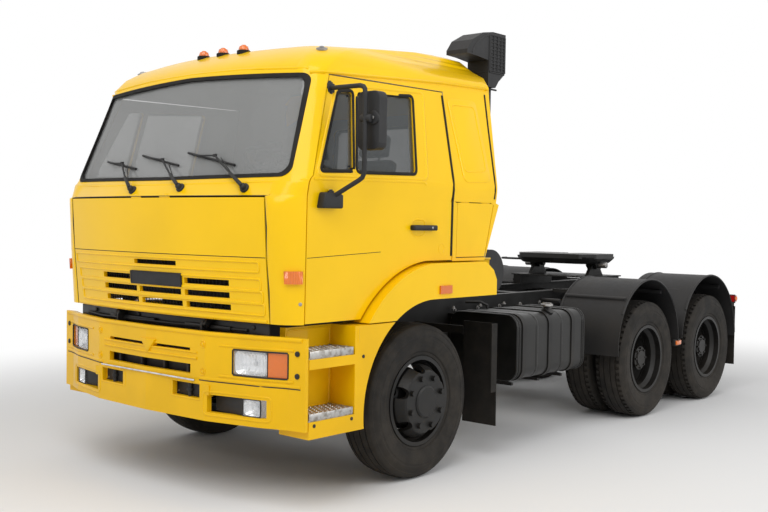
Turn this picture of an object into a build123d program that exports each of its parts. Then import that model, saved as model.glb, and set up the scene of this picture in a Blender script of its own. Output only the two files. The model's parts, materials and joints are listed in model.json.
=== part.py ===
"""Cab-over semi truck tractor unit, 6x4, as an assembly of separate pieces.

Units are millimetres.  +Z is up, the truck faces -Y and +X is its own left side.  Every piece is
drawn with Y measured back from the front axle and Z up from the ground; place() then moves it so
that the origin lies on the ground under the middle of the whole vehicle.
"""
from build123d import *
from math import cos, sin, radians, hypot
import os

# ---------------------------------------------------------------------------------------------
# Driving dimensions
# ---------------------------------------------------------------------------------------------
FRONT_AXLE_Y = -1885.0         # front axle in the finished frame
WHEELBASE = 3190.0             # front axle to first drive axle
BOGIE_SPREAD = 1320.0          # first to second drive axle
FRONT_TRACK = 2030.0
REAR_TRACK = 1850.0            # between the middles of the twin wheels
TWIN_SPACING = 312.0           # between the two tyres of a twin wheel
CLEARANCE = 8.0                # gap round doors, flaps and lids
SEAT_GAP = 0.3                 # between a piece and what carries it, on curved seats
SHAFT_CLEARANCE = 0.05         # radial, pins and spindles

# Tyres and wheels (11R22.5 on 7.50 x 22.5 wheels)
TYRE_R = 525.0
TYRE_W = 279.0
TREAD_W = 225.0
SHOULDER_DROP = 12.0
BEAD_R = 286.0
FLANGE_R = 303.0
RIM_W = 236.0
RIM_WALL = 9.0
WELL_R = 250.0
STUD_PCD = 335.0
STUD_COUNT = 8
NUT_R = 19.0
NUT_H = 26.0
HAND_HOLES = 6
HAND_HOLE_R = 40.0
HAND_HOLE_PITCH_R = 236.0
DISC_R = 212.0
DISC_STANDOUT = 58.0           # front wheel disc, out from the rim's edge
DISC_T = 14.0
HUB_CAP_R = 109.0
DRUM_R = 206.0
DRUM_WALL = 12.0
SPINDLE_R = 38.0
REAR_HUB_FLANGE_R = 105.0
REAR_HUB_CAP_R = 71.0
REAR_HUB_RECESS = 54.0         # hub end, in from the outer rim's edge

# Steering and front axle
KINGPIN_INSET = 178.0          # in from the wheel's middle
KNUCKLE_H = 230.0
KNUCKLE_R = 44.0
STEER_ARM = 180.0
TIE_ROD_R = 20.0
TIE_ROD_DROP = 95.0
BEAM_DROP = 90.0
BEAM_W = 96.0
BEAM_H = 110.0

# Frame
RAIL_OUT = 435.0               # outer face of a rail, from the middle
RAIL_FLANGE = 80.0
RAIL_H = 268.0
RAIL_TOP = 1120.0
RAIL_T = 9.0
RAIL_FRONT = -1100.0
RAIL_REAR = 5130.0

# Cab: horizontal sections.  z, half width, half width of the flat front, front at the middle,
# front at the end of the flat, start of the side, rear face
CAB_BOTTOM = 1115.0
CAB_SECTIONS = [
    # z,     side, flat,  mid_y,   flat_y,  side_y,  rear_y
    (1115.0, 1180.0, 1000.0, -1330.0, -1250.0, -1140.0, 812.0),
    (1507.0, 1185.0, 1000.0, -1365.0, -1285.0, -1140.0, 812.0),
    (1860.0, 1190.0, 1000.0, -1375.0, -1305.0, -1140.0, 812.0),
    (2003.0, 1200.0, 1000.0, -1330.0, -1265.0, -1135.0, 812.0),
    (2640.0, 1075.0, 920.0, -1030.0, -965.0, -850.0, 830.0),
    (2790.0, 1040.0, 890.0, -915.0, -845.0, -735.0, 860.0),
    (2880.0, 985.0, 840.0, -800.0, -735.0, -630.0, 850.0),
    (2935.0, 880.0, 760.0, -640.0, -580.0, -480.0, 810.0),
    (2975.0, 640.0, 560.0, -330.0, -290.0, -200.0, 700.0),
]
CORNER_BULGE = 0.16            # of the chord of a front corner
CAB_WALL = 42.0
ROOF_WALL = 45.0
CAB_FLOOR = 1270.0
CAB_FLOOR_T = 60.0
FIREWALL_Y = -1150.0
BELT_Z = 2003.0
GUTTER_Z = 2640.0
TILT_PIVOT_Y = -1290.0
TILT_PIVOT_Z = 1076.0
PIVOT_PIN_R = 14.0
PIVOT_PLATE_T = 18.0

# Front panel (lid below the windscreen)
LID_HALF = 1000.0
LID_TOP = 1858.0
LID_BOTTOM = 1112.0
LID_T = 26.0
LID_HINGE_X = 150.0            # hinge beads along the lid's top edge
LID_HINGE_L = 100.0
LID_HINGE_Y = -1373.0

# Doors
DOOR_FRONT = -1134.0
DOOR_REAR = 262.0
DOOR_BOTTOM = 1120.0
DOOR_TOP_FRONT = 2598.0
DOOR_TOP_REAR = 2622.0
DOOR_T = 42.0
GLASS_T = 5.0
GLASS_SET = 14.0               # glass, in from the outer skin
SEAL_W = 22.0

# Locker flap behind the door
FLAP_FRONT = 318.0
FLAP_REAR = 745.0
FLAP_TOP = 1866.0
FLAP_BOTTOM = 1490.0
FLAP_T = 20.0
FLAP_GAP = 6.0
FLAP_HINGE_X = 1187.5

# Front wheel arch and flare
ARCH_R = 692.0
FLARE_R = 880.0
FLARE_CENTRE_Y = 60.0
FLARE_CENTRE_Z = 578.0
FLARE_TOP = 1455.0
FLARE_BOTTOM_REAR = 1217.0
FLARE_REAR = 718.0
FLARE_OUT = 1250.0
FLARE_IN = 1120.0               # outer face of the cab's inner wall behind the flare
FLARE_WALL = 32.0
FLARE_SEAM = 1098.0            # seam between the cab's flare and the step panel

# Bumper
BUMPER_MID = -1397.0
BUMPER_HALF = 1250.0
BUMPER_TOP = 1043.0
BUMPER_SEAM = 752.0
BUMPER_BOTTOM = 500.0
BUMPER_REAR = -1172.0
BUMPER_SKIN = 34.0
LAMP_IN, LAMP_SPLIT, LAMP_OUT = 765.0, 1000.0, 1125.0
LAMP_LOW, LAMP_HIGH = 800.0, 950.0
FOG_LOW, FOG_HIGH = 556.0, 664.0
LENS_SET = 8.0                 # lens, in from the bumper's skin
LAMP_DEPTH = 46.0

# Steps
STEP_IN = 1045.0
STEP_REAR = -775.0
STEP_LOW = 452.0
STEP_TREAD_T = 36.0
STEP_HEIGHTS = (590.0, 955.0)  # tops of the two treads

# Fifth wheel
KINGPIN_Y = 3750.0
KINGPIN_R = 25.5
FIFTH_TOP = 1440.0
FIFTH_HALF = 450.0
FIFTH_FRONT = 3430.0
FIFTH_REAR = 4150.0
FIFTH_T = 45.0
FIFTH_PIVOT_Y = 3750.0
FIFTH_PIVOT_Z = 1330.0
FIFTH_PIVOT_R = 25.0
BASE_PLATE_Z = 1222.0

# Mudguards of the drive wheels
GUARD_IN = 600.0
GUARD_OUT = 1250.0
GUARD_T = 6.0
# middle of the arc, arc radius, height of the arc's middle, lower end at the front and rear
GUARDS = [
    # mid_y,  radius, mid_z, front_z, rear_z
    (3142.0, 590.0, 655.0, 600.0, 640.0),
    (4440.0, 634.0, 612.0, 670.0, 600.0),
]

# Fuel tank (left) and the boxes opposite
TANK_FRONT, TANK_REAR = 1140.0, 2150.0
TANK_IN, TANK_OUT = 520.0, 1148.0
TANK_BOTTOM, TANK_TOP = 530.0, 1030.0
TANK_CORNER = 95.0

MID_REAR_AXLES = WHEELBASE + BOGIE_SPREAD / 2
WHEEL_Z = TYRE_R


# ---------------------------------------------------------------------------------------------
# Helpers
# ---------------------------------------------------------------------------------------------
def block(x0, x1, y0, y1, z0, z1):
    """A box between two corners."""
    return Pos((x0 + x1) / 2, (y0 + y1) / 2, (z0 + z1) / 2) * Box(abs(x1 - x0), abs(y1 - y0), abs(z1 - z0))


def closed(points, radius=0.0):
    """A flat face in the XY plane through the points, its corners rounded."""
    face = make_face(Polyline(*points, close=True))
    return fillet(face.vertices(), radius) if radius else face


def prism_x(points, x0, x1, radius=0.0):
    """A (y, z) outline run along X."""
    return extrude(Plane.YZ.offset(x0) * closed(points, radius), x1 - x0)


def prism_y(points, y0, y1, radius=0.0):
    """An (x, z) outline run along Y."""
    plane = Plane((0, y0, 0), x_dir=(1, 0, 0), z_dir=(0, -1, 0))
    return extrude(plane * closed(points, radius), -(y1 - y0))


def prism_z(points, z0, z1, radius=0.0):
    """An (x, y) outline run up Z."""
    return extrude(Plane.XY.offset(z0) * closed(points, radius), z1 - z0)


def rod(start, end, radius):
    """A round bar between two points."""
    a, b = Vector(*start), Vector(*end)
    return Plane(a, z_dir=b - a) * Cylinder(radius, (b - a).length, align=(Align.CENTER, Align.CENTER, Align.MIN))


def disc_x(x0, x1, y, z, radius):
    """A cylinder along X."""
    return rod((x0, y, z), (x1, y, z), radius)


def turned_x(profile):
    """An (x, radius) profile turned about the X axis."""
    return revolve(make_face(Polyline(*profile, close=True)), Axis.X, 360)


def mirrored(shape):
    return mirror(shape, about=Plane.YZ)


def both(shape):
    """A piece and its mirror image on the other side of the truck."""
    return Compound(children=solids_of(shape) + solids_of(mirrored(shape)))


def solids_of(*shapes):
    found = []
    for shape in shapes:
        found += list(shape.solids())
    return found


def group(*shapes):
    """Separate solids kept in one node."""
    return Compound(children=solids_of(*shapes))


# ---------------------------------------------------------------------------------------------
# Wheels
# ---------------------------------------------------------------------------------------------
def tyre():
    """One tyre about the X axis: bead, bulged side wall, shoulder and tread."""
    half, tread = TYRE_W / 2, TREAD_W / 2
    foot = RIM_W / 2 - RIM_WALL
    outer = TYRE_R - SHOULDER_DROP
    bulge_r = (FLANGE_R + outer) / 2 + 20
    edges = [
        Line((-foot, BEAD_R), (foot, BEAD_R)),
        Line((foot, BEAD_R), (foot, FLANGE_R + 6)),
        ThreePointArc((foot, FLANGE_R + 6), (half, bulge_r), (tread + 4, outer - 26)),
        Line((tread + 4, outer - 26), (tread, outer)),
        ThreePointArc((tread, outer), (0, TYRE_R), (-tread, outer)),
        Line((-tread, outer), (-tread - 4, outer - 26)),
        ThreePointArc((-tread - 4, outer - 26), (-half, bulge_r), (-foot, FLANGE_R + 6)),
        Line((-foot, FLANGE_R + 6), (-foot, BEAD_R)),
    ]
    return revolve(make_face(edges), Axis.X, 360)


def rim_barrel():
    """The rim: two flanges, bead seats and the drop centre, as one thin wall."""
    half = RIM_W / 2
    seat = BEAD_R - SEAT_GAP
    outer = [(-half, FLANGE_R), (-half + RIM_WALL - SEAT_GAP, FLANGE_R), (-half + RIM_WALL - SEAT_GAP, seat),
             (-half + 46, seat), (-half + 78, WELL_R + RIM_WALL), (half - 78, WELL_R + RIM_WALL),
             (half - 46, seat), (half - RIM_WALL + SEAT_GAP, seat), (half - RIM_WALL + SEAT_GAP, FLANGE_R),
             (half, FLANGE_R)]
    inner = [(half, seat - RIM_WALL), (half - 50, seat - RIM_WALL), (half - 82, WELL_R),
             (-half + 82, WELL_R), (-half + 50, seat - RIM_WALL), (-half, seat - RIM_WALL)]
    return turned_x(outer + inner)


def ring_of(count, pitch_r, maker, first=0.0):
    """Copies of a piece spread round the X axis."""
    return [Rot(first + 360 * i / count, 0, 0) * Pos(0, 0, pitch_r) * maker() for i in range(count)]


def nut(x):
    return rod((x, 0, 0), (x + NUT_H, 0, 0), NUT_R)


def front_rim():
    """Left front wheel without its tyre, middle at the origin, outboard along +X."""
    edge = RIM_W / 2
    face = edge + DISC_STANDOUT
    disc = turned_x([(face - DISC_T, SPINDLE_R + 22), (face, SPINDLE_R + 22), (face, DISC_R - 10),
                     (face - 10, DISC_R), (edge - 12, HAND_HOLE_PITCH_R + 8), (edge - 82, WELL_R + 2),
                     (edge - 96, WELL_R + 2), (edge - 96, WELL_R - 8), (edge - 30, HAND_HOLE_PITCH_R - 12),
                     (face - DISC_T - 12, DISC_R - 14)])
    hub = turned_x([(-110, SPINDLE_R + SHAFT_CLEARANCE), (face - 60, SPINDLE_R + SHAFT_CLEARANCE),
                    (face - 60, 0), (face + 12, 0), (face + 12, HUB_CAP_R - 12), (face + 4, HUB_CAP_R),
                    (face, HUB_CAP_R), (face, HUB_CAP_R + 20), (face - 20, HUB_CAP_R + 20), (face - 40, 92),
                    (-20, 80), (-110, 80)])
    drum = turned_x([(-100, DRUM_R), (60, DRUM_R), (74, DRUM_R - 20), (96, 120), (96, 78), (80, 78),
                     (80, 112), (60, DRUM_R - 24), (56, DRUM_R - DRUM_WALL), (-100, DRUM_R - DRUM_WALL)])
    wheel = rim_barrel() + disc + hub + drum
    for hole in ring_of(HAND_HOLES, HAND_HOLE_PITCH_R, lambda: rod((0, 0, 0), (face + 40, 0, 0), HAND_HOLE_R), 10):
        wheel -= hole & turned_x([(0, HAND_HOLE_PITCH_R - 60), (face, HAND_HOLE_PITCH_R - 60),
                                  (face, WELL_R - 1), (0, WELL_R - 1)])
    for stud in ring_of(STUD_COUNT, STUD_PCD / 2, lambda: nut(face - 4), 19):
        wheel += stud
    return wheel


def twin_rim():
    """Left twin wheel without tyres, middle of the pair at the origin, outboard along +X."""
    half = TWIN_SPACING / 2
    edge = half + RIM_W / 2
    outer = Pos(half, 0, 0) * rim_barrel()
    inner = Pos(-half, 0, 0) * rim_barrel()
    root, rim_x = DISC_R + 4, half - 22
    dish = [(0, 90), (DISC_T, 90), (DISC_T, DISC_R - 12), (rim_x - 12, WELL_R - 8), (rim_x, WELL_R - 8),
            (rim_x, WELL_R + 4), (rim_x - 20, WELL_R + 4), (0, root)]
    disc = turned_x(dish) + turned_x([(-x, r) for x, r in dish])
    hub_end = edge - REAR_HUB_RECESS
    hub = turned_x([(-150, 82), (DISC_T + 10, 92), (DISC_T + 10, 100), (hub_end - 30, 84), (hub_end - 30, REAR_HUB_FLANGE_R),
                    (hub_end - 12, REAR_HUB_FLANGE_R), (hub_end - 12, REAR_HUB_CAP_R), (hub_end, REAR_HUB_CAP_R - 4),
                    (hub_end, 0), (hub_end - 50, 0), (hub_end - 50, SPINDLE_R + 22 + SHAFT_CLEARANCE),
                    (-150, SPINDLE_R + 22 + SHAFT_CLEARANCE)])
    drum = turned_x([(-190, DRUM_R), (-40, DRUM_R), (-24, 180), (-14, 120), (-14, 80), (-28, 80), (-40, 118),
                     (-46, DRUM_R - DRUM_WALL), (-190, DRUM_R - DRUM_WALL)])
    wheel = outer + inner + disc + hub + drum
    for stud in ring_of(STUD_COUNT, STUD_PCD / 2, lambda: nut(DISC_T - 4), 19):
        wheel += stud
    for bolt in ring_of(STUD_COUNT, REAR_HUB_FLANGE_R - 16, lambda: rod((hub_end - 14, 0, 0), (hub_end + 2, 0, 0), 9)):
        wheel += bolt
    return wheel


# ---------------------------------------------------------------------------------------------
# Steering, front axle
# ---------------------------------------------------------------------------------------------
KINGPIN_X = FRONT_TRACK / 2 - KINGPIN_INSET
BEAM_END_Z = WHEEL_Z


def knuckle():
    """Left steering knuckle: fork round the beam's end, spindle, brake plate and arm."""
    x_mid = FRONT_TRACK / 2
    top, low = WHEEL_Z + KNUCKLE_H / 2, WHEEL_Z - KNUCKLE_H / 2
    eye = BEAM_H / 2 + 1.0
    body = rod((KINGPIN_X, 0, low), (KINGPIN_X, 0, top), KNUCKLE_R)
    body += block(KINGPIN_X, KINGPIN_X + 62, -44, 44, low, top)
    body -= block(KINGPIN_X - 80, KINGPIN_X + KNUCKLE_R + 6, -90, 90, WHEEL_Z - eye, WHEEL_Z + eye)
    body += rod((KINGPIN_X, 0, WHEEL_Z - eye - 5), (KINGPIN_X, 0, WHEEL_Z + eye + 5), PIVOT_PIN_R + 6)
    body += disc_x(KINGPIN_X + 50, KINGPIN_X + 66, 0, WHEEL_Z, DRUM_R - DRUM_WALL - 12)
    body += disc_x(KINGPIN_X + 50, x_mid + RIM_W / 2 + DISC_STANDOUT - 62, 0, WHEEL_Z, SPINDLE_R)
    arm_z = WHEEL_Z - TIE_ROD_DROP
    body += block(KINGPIN_X - 22, KINGPIN_X + 22, 0, STEER_ARM, arm_z - 16, arm_z + 16)
    body += rod((KINGPIN_X, STEER_ARM, arm_z - 16), (KINGPIN_X, STEER_ARM, arm_z + 16), 30)
    return body


def tie_rod():
    """Bar between the two steering arms, hung under the arms' eyes."""
    z = WHEEL_Z - TIE_ROD_DROP - 16 - TIE_ROD_R - 8
    bar = rod((-KINGPIN_X, STEER_ARM, z), (KINGPIN_X, STEER_ARM, z), TIE_ROD_R)
    for side in (-1, 1):
        bar += rod((side * KINGPIN_X, STEER_ARM, z - 26), (side * KINGPIN_X, STEER_ARM, z + 28 - SEAT_GAP), 26)
    return bar


def front_axle():
    """Dropped beam with an eye for each kingpin and two spring pads."""
    end_top, low_top = BEAM_END_Z + BEAM_H / 2, BEAM_END_Z + BEAM_H / 2 - BEAM_DROP
    drop_in, drop_out = 560.0, 700.0
    outline = [(-KINGPIN_X, end_top), (-drop_out, end_top), (-drop_in, low_top), (drop_in, low_top),
               (drop_out, end_top), (KINGPIN_X, end_top), (KINGPIN_X, end_top - BEAM_H),
               (drop_out + 20, end_top - BEAM_H), (drop_in + 20, low_top - BEAM_H),
               (-drop_in - 20, low_top - BEAM_H), (-drop_out - 20, end_top - BEAM_H),
               (-KINGPIN_X, end_top - BEAM_H)]
    beam = prism_y(outline, -BEAM_W / 2, BEAM_W / 2)
    flute = prism_y([(x * 0.93, z + (18 if z > low_top - BEAM_H / 2 else -18) * 0) for x, z in
                     [(-drop_in, low_top - 22), (drop_in, low_top - 22), (drop_in, low_top - BEAM_H + 22),
                      (-drop_in, low_top - BEAM_H + 22)]], BEAM_W / 2 - 22, BEAM_W / 2)
    beam -= flute
    beam -= mirror(flute, about=Plane.XZ)
    for side in (-1, 1):
        beam += rod((side * KINGPIN_X, 0, end_top - BEAM_H), (side * KINGPIN_X, 0, end_top), BEAM_W / 2)
        beam -= rod((side * KINGPIN_X, 0, 0), (side * KINGPIN_X, 0, 2000), PIVOT_PIN_R + 6 + SHAFT_CLEARANCE)
    return beam


SPRING_X = RAIL_OUT - RAIL_FLANGE / 2
FRONT_SPRING_HALF = 760.0
SPRING_W = 76.0
BEAM_PAD_Z = BEAM_END_Z + BEAM_H / 2 - BEAM_DROP


def front_springs():
    """Leaf pack on each side of the front axle, with its shackles up to the rail."""
    rail_low = RAIL_TOP - RAIL_H
    eye_z = rail_low - 95
    seat = BEAM_PAD_Z + 6
    pieces = []
    for side in (-1, 1):
        x = side * SPRING_X
        pack = prism_x([(-FRONT_SPRING_HALF, eye_z - 10), (-300, seat + 66), (0, seat + 46), (300, seat + 66),
                        (FRONT_SPRING_HALF, eye_z - 10), (FRONT_SPRING_HALF, eye_z + 12), (300, seat + 84),
                        (0, seat + 74), (-300, seat + 84), (-FRONT_SPRING_HALF, eye_z + 12)],
                       x - SPRING_W / 2, x + SPRING_W / 2)
        pack += prism_x([(-420, seat + 82), (-160, seat), (160, seat), (420, seat + 82), (300, seat + 84),
                         (0, seat + 74), (-300, seat + 84)], x - SPRING_W / 2, x + SPRING_W / 2)
        pack += block(x - SPRING_W / 2 - 14, x + SPRING_W / 2 + 14, -70, 70, seat - 6, seat + 14)
        pack += block(x - SPRING_W / 2, x + SPRING_W / 2, -60, 60, seat + 60, seat + 100)
        for end in (-1, 1):
            y = end * FRONT_SPRING_HALF
            pack += disc_x(x - SPRING_W / 2, x + SPRING_W / 2, y, eye_z, 28)
            pack += prism_x([(y - 45, rail_low - SEAT_GAP), (y + 45, rail_low - SEAT_GAP), (y + 24, eye_z),
                             (y - 24, eye_z)], x - SPRING_W / 2, x + SPRING_W / 2)
        pieces.append(pack)
    return group(*pieces)


# ---------------------------------------------------------------------------------------------
# Frame
# ---------------------------------------------------------------------------------------------
def frame_rails():
    """Two C-shaped side rails, open towards the middle."""
    low = RAIL_TOP - RAIL_H
    channel = [(RAIL_OUT, low), (RAIL_OUT, RAIL_TOP), (RAIL_OUT - RAIL_FLANGE, RAIL_TOP),
               (RAIL_OUT - RAIL_FLANGE, RAIL_TOP - RAIL_T), (RAIL_OUT - RAIL_T, RAIL_TOP - RAIL_T),
               (RAIL_OUT - RAIL_T, low + RAIL_T), (RAIL_OUT - RAIL_FLANGE, low + RAIL_T),
               (RAIL_OUT - RAIL_FLANGE, low)]
    return both(prism_y(channel, RAIL_FRONT, RAIL_REAR))


# y of each crossmember and its depth along Y
CROSSMEMBERS = [
    # mid_y, depth
    (-1060.0, 60.0),
    (1320.0, 120.0),
    (2000.0, 120.0),
    (2680.0, 120.0),
    (5085.0, 80.0),
]
CAB_REST_Y = 560.0


def crossmembers():
    """Bars between the rails, the cab's front pivots and its rear rest."""
    low = RAIL_TOP - RAIL_H
    inner = RAIL_OUT - RAIL_T
    bars = []
    for mid_y, depth in CROSSMEMBERS:
        y0, y1 = mid_y - depth / 2, mid_y + depth / 2
        bars.append(prism_x([(y0, low + 30), (y1, low + 30), (y1, low + 46), (y0 + 16, low + 46),
                             (y0 + 16, RAIL_TOP - 46), (y1, RAIL_TOP - 46), (y1, RAIL_TOP - 30),
                             (y0, RAIL_TOP - 30)], -inner, inner))
    bars.append(block(-inner, inner, MID_REAR_AXLES - 130, MID_REAR_AXLES + 130, low + RAIL_T, RAIL_TOP - RAIL_T - 60))
    for side in (-1, 1):
        x0, x1 = side * RAIL_OUT, side * (RAIL_OUT + PIVOT_PLATE_T)
        bracket = prism_x([(-1310, TILT_PIVOT_Z - 60), (-1310, TILT_PIVOT_Z), (-1296, TILT_PIVOT_Z + 24),
                           (-1272, TILT_PIVOT_Z + 24), (-900, TILT_PIVOT_Z + 24), (-900, 900), (-1180, 900)],
                          min(x0, x1), max(x0, x1))
        pin = disc_x(min(x1, x1 + side * 30), max(x1, x1 + side * 30), TILT_PIVOT_Y, TILT_PIVOT_Z, PIVOT_PIN_R)
        bars.append(bracket + pin)
    rest_low = RAIL_TOP + SEAT_GAP
    rest_top = CAB_FLOOR - CAB_FLOOR_T - SEAT_GAP
    bars.append(block(-RAIL_OUT, RAIL_OUT, CAB_REST_Y - 40, CAB_REST_Y + 40, rest_low, rest_top))
    return group(*bars)


# ---------------------------------------------------------------------------------------------
# Rear axles and suspension
# ---------------------------------------------------------------------------------------------
AXLE_TUBE_R = 70.0
GEARBOX_END = 1178.0
GEARBOX_SHAFT_Z = 800.0


def drive_axles():
    """Two drive axles with their bowls, brake plates and propeller shafts."""
    pieces = []
    tube_end = REAR_TRACK / 2 - 160
    spindle_end = REAR_TRACK / 2 + TWIN_SPACING / 2 + RIM_W / 2 - REAR_HUB_RECESS - 52
    for y in (WHEELBASE, WHEELBASE + BOGIE_SPREAD):
        axle = disc_x(-tube_end, tube_end, y, WHEEL_Z, AXLE_TUBE_R)
        axle += Pos(0, y, WHEEL_Z) * Sphere(200)
        axle += rod((0, y - 300, WHEEL_Z + 60), (0, y, WHEEL_Z + 30), 105)
        for side in (-1, 1):
            axle += disc_x(side * tube_end, side * spindle_end, y, WHEEL_Z, SPINDLE_R + 22)
            axle += disc_x(side * (tube_end - 30), side * (tube_end - 14), y, WHEEL_Z, DRUM_R - DRUM_WALL - 12)
        pieces.append(axle)
    for y0, z0, y1 in ((GEARBOX_END, GEARBOX_SHAFT_Z, WHEELBASE - 301), (WHEELBASE + 190, WHEEL_Z, WHEELBASE + BOGIE_SPREAD - 301)):
        shaft = rod((0, y0 + 12, z0), (0, y1 - 4, WHEEL_Z + 60), 42)
        shaft += rod((0, y0 + SEAT_GAP, z0), (0, y0 + 24, z0), 66)
        pieces[0] += shaft
    return group(*pieces)


BOGIE_SPRING_X = RAIL_OUT + 62.0


def rear_suspension():
    """Inverted leaf pack on each side, its ends on the axles and its middle on the trunnion."""
    seat = WHEEL_Z + AXLE_TUBE_R + SEAT_GAP
    pieces = []
    for side in (-1, 1):
        x = side * BOGIE_SPRING_X
        half = BOGIE_SPREAD / 2
        mid = MID_REAR_AXLES
        x0, x1 = x - SPRING_W / 2, x + SPRING_W / 2
        pack = prism_x([(mid - half - 60, seat + 20), (mid - half + 60, seat + 20), (mid - 300, seat + 64),
                        (mid, seat + 64), (mid + 300, seat + 64), (mid + half - 60, seat + 20),
                        (mid + half + 60, seat + 20), (mid + half + 60, seat + 44), (mid + 360, seat + 104),
                        (mid + 120, seat + 158), (mid - 120, seat + 158), (mid - 360, seat + 104),
                        (mid - half - 60, seat + 44)], x0, x1)
        for end in (-1, 1):
            y = mid + end * half
            pack += block(x0 - 8, x1 + 8, y - 60, y + 60, seat, seat + 30)
        pack += prism_x([(mid - 150, seat - 120), (mid - 60, seat - 190), (mid + 60, seat - 190), (mid + 150, seat - 120),
                         (mid + 150, seat + 70), (mid - 150, seat + 70)], x0 - 10, x1 + 10)
        rail_face = side * (RAIL_OUT + SEAT_GAP)
        inner_face = x0 if side > 0 else x1
        pack += prism_x([(mid - 170, RAIL_TOP - 60), (mid + 170, RAIL_TOP - 60), (mid + 90, seat - 150), (mid - 90, seat - 150)],
                        min(rail_face, inner_face), max(rail_face, inner_face))
        pieces.append(pack)
    return group(*pieces)


# ---------------------------------------------------------------------------------------------
# Power unit
# ---------------------------------------------------------------------------------------------
def engine():
    """Engine and gearbox as one plain block, with the radiator ahead of it."""
    body = block(-310, 310, -820, 260, 640, 1185)
    body += block(-200, 200, 260, 1100, 640, 1010)
    body += rod((0, 1100, GEARBOX_SHAFT_Z), (0, GEARBOX_END, GEARBOX_SHAFT_Z), 70)
    body += block(-150, 150, -760, 160, 540, 640)
    for side in (-1, 1):
        body += block(side * 310, side * (RAIL_OUT - RAIL_T - SEAT_GAP), -420, -320, 900, 960)
        body += block(side * 200, side * (RAIL_OUT - RAIL_T - SEAT_GAP), 840, 900, 880, 930)
    radiator = block(-345, 345, -1015, -935, 700, 1190)
    radiator += rod((0, -937, 950), (0, -815, 950), 60)
    return group(body + radiator)


# ---------------------------------------------------------------------------------------------
# Cab body
# ---------------------------------------------------------------------------------------------
def cab_section(row, inset):
    """Wire of one horizontal cab section, moved in by inset."""
    z, side, flat, mid_y, flat_y, side_y, rear_y = row
    side, flat = side - inset, flat - inset * 0.5
    mid_y, flat_y, side_y, rear_y = mid_y + inset, flat_y + inset, side_y + inset * 0.5, rear_y - inset
    chord = Vector(side - flat, side_y - flat_y)
    bow = Vector(chord.Y, -chord.X) * CORNER_BULGE
    corner = Vector((side + flat) / 2, (side_y + flat_y) / 2) + bow
    right = (-corner.X, corner.Y, z)
    edges = [
        Edge.make_line((-side, rear_y, z), (-side, side_y, z)),
        Edge.make_three_point_arc((-side, side_y, z), right, (-flat, flat_y, z)),
        Edge.make_three_point_arc((-flat, flat_y, z), (0, mid_y, z), (flat, flat_y, z)),
        Edge.make_three_point_arc((flat, flat_y, z), (corner.X, corner.Y, z), (side, side_y, z)),
        Edge.make_line((side, side_y, z), (side, rear_y, z)),
        Edge.make_line((side, rear_y, z), (-side, rear_y, z)),
    ]
    return Wire(edges)


def cab_hull(inset):
    """The cab's outer form, or the same form moved in by inset."""
    rows = [list(row) for row in CAB_SECTIONS]
    rows[-1][0] -= inset * 1.05
    rows[-2][0] -= inset
    rows[-3][0] -= inset * 0.7
    return Solid.make_loft([cab_section(row, inset) for row in rows], ruled=True)


def rear_cut(inset=0.0):
    """What the slope under the cab's back takes off."""
    return prism_x([(812 - inset, 1860), (1000, 1860), (1000, 1000), (600 - inset, 1000), (600 - inset, 1300),
                    (650 - inset, 1460)], -1400, 1400)


def wheel_arch_cut(grow, x_in):
    """Space over the front wheel that the cab's side, its door and its floor leave free."""
    round_part = disc_x(x_in, 1400, FLARE_CENTRE_Y, FLARE_CENTRE_Z, FLARE_R + grow)
    round_part &= block(x_in, 1400, -2000, FLARE_CENTRE_Y, 500, FLARE_TOP + grow)
    rear_part = block(x_in, 1400, FLARE_CENTRE_Y, 1200, 500, FLARE_TOP + grow)
    return round_part + rear_part


def lid_zone(grow=0.0, back=FIREWALL_Y):
    return block(-LID_HALF - grow, LID_HALF + grow, -1500, back, LID_BOTTOM - grow, LID_TOP + grow)


def door_outline(grow=0.0):
    """(y, z) outline of the left door, grown by a gap."""
    return [(DOOR_FRONT - grow, DOOR_BOTTOM - grow), (DOOR_REAR + grow, DOOR_BOTTOM - grow),
            (DOOR_REAR + grow, DOOR_TOP_REAR + grow), (-848 - grow * 0.5, DOOR_TOP_FRONT + grow),
            (DOOR_FRONT - grow, 1985 + grow * 0.3)]


VENT_WINDOW = [(-985, 2032), (-715, 2045), (-655, 2528), (-815, 2512)]
MAIN_WINDOW = [(-655, 2045), (-98, 2055), (-52, 2560), (-598, 2535)]
WINDSCREEN = [(-1120, 1995), (0, 1985), (1120, 1995), (1035, 2600), (0, 2622), (-1035, 2600)]
REAR_WINDOW = [(-450, 2080), (450, 2080), (450, 2480), (-450, 2480)]


def grown(points, by):
    """An outline moved out from its own middle by about the given width."""
    cx = sum(p[0] for p in points) / len(points)
    cz = sum(p[1] for p in points) / len(points)
    result = []
    for x, z in points:
        result.append((x + by * (1 if x > cx + 1 else -1 if x < cx - 1 else 0),
                       z + by * (1 if z > cz else -1)))
    return result


def windscreen_prism(grow=0.0):
    return prism_y(grown(WINDSCREEN, grow), -1500, -700, 55)


def rear_window_prism(grow=0.0):
    return prism_y(grown(REAR_WINDOW, grow), 700, 1000, 50)


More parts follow.
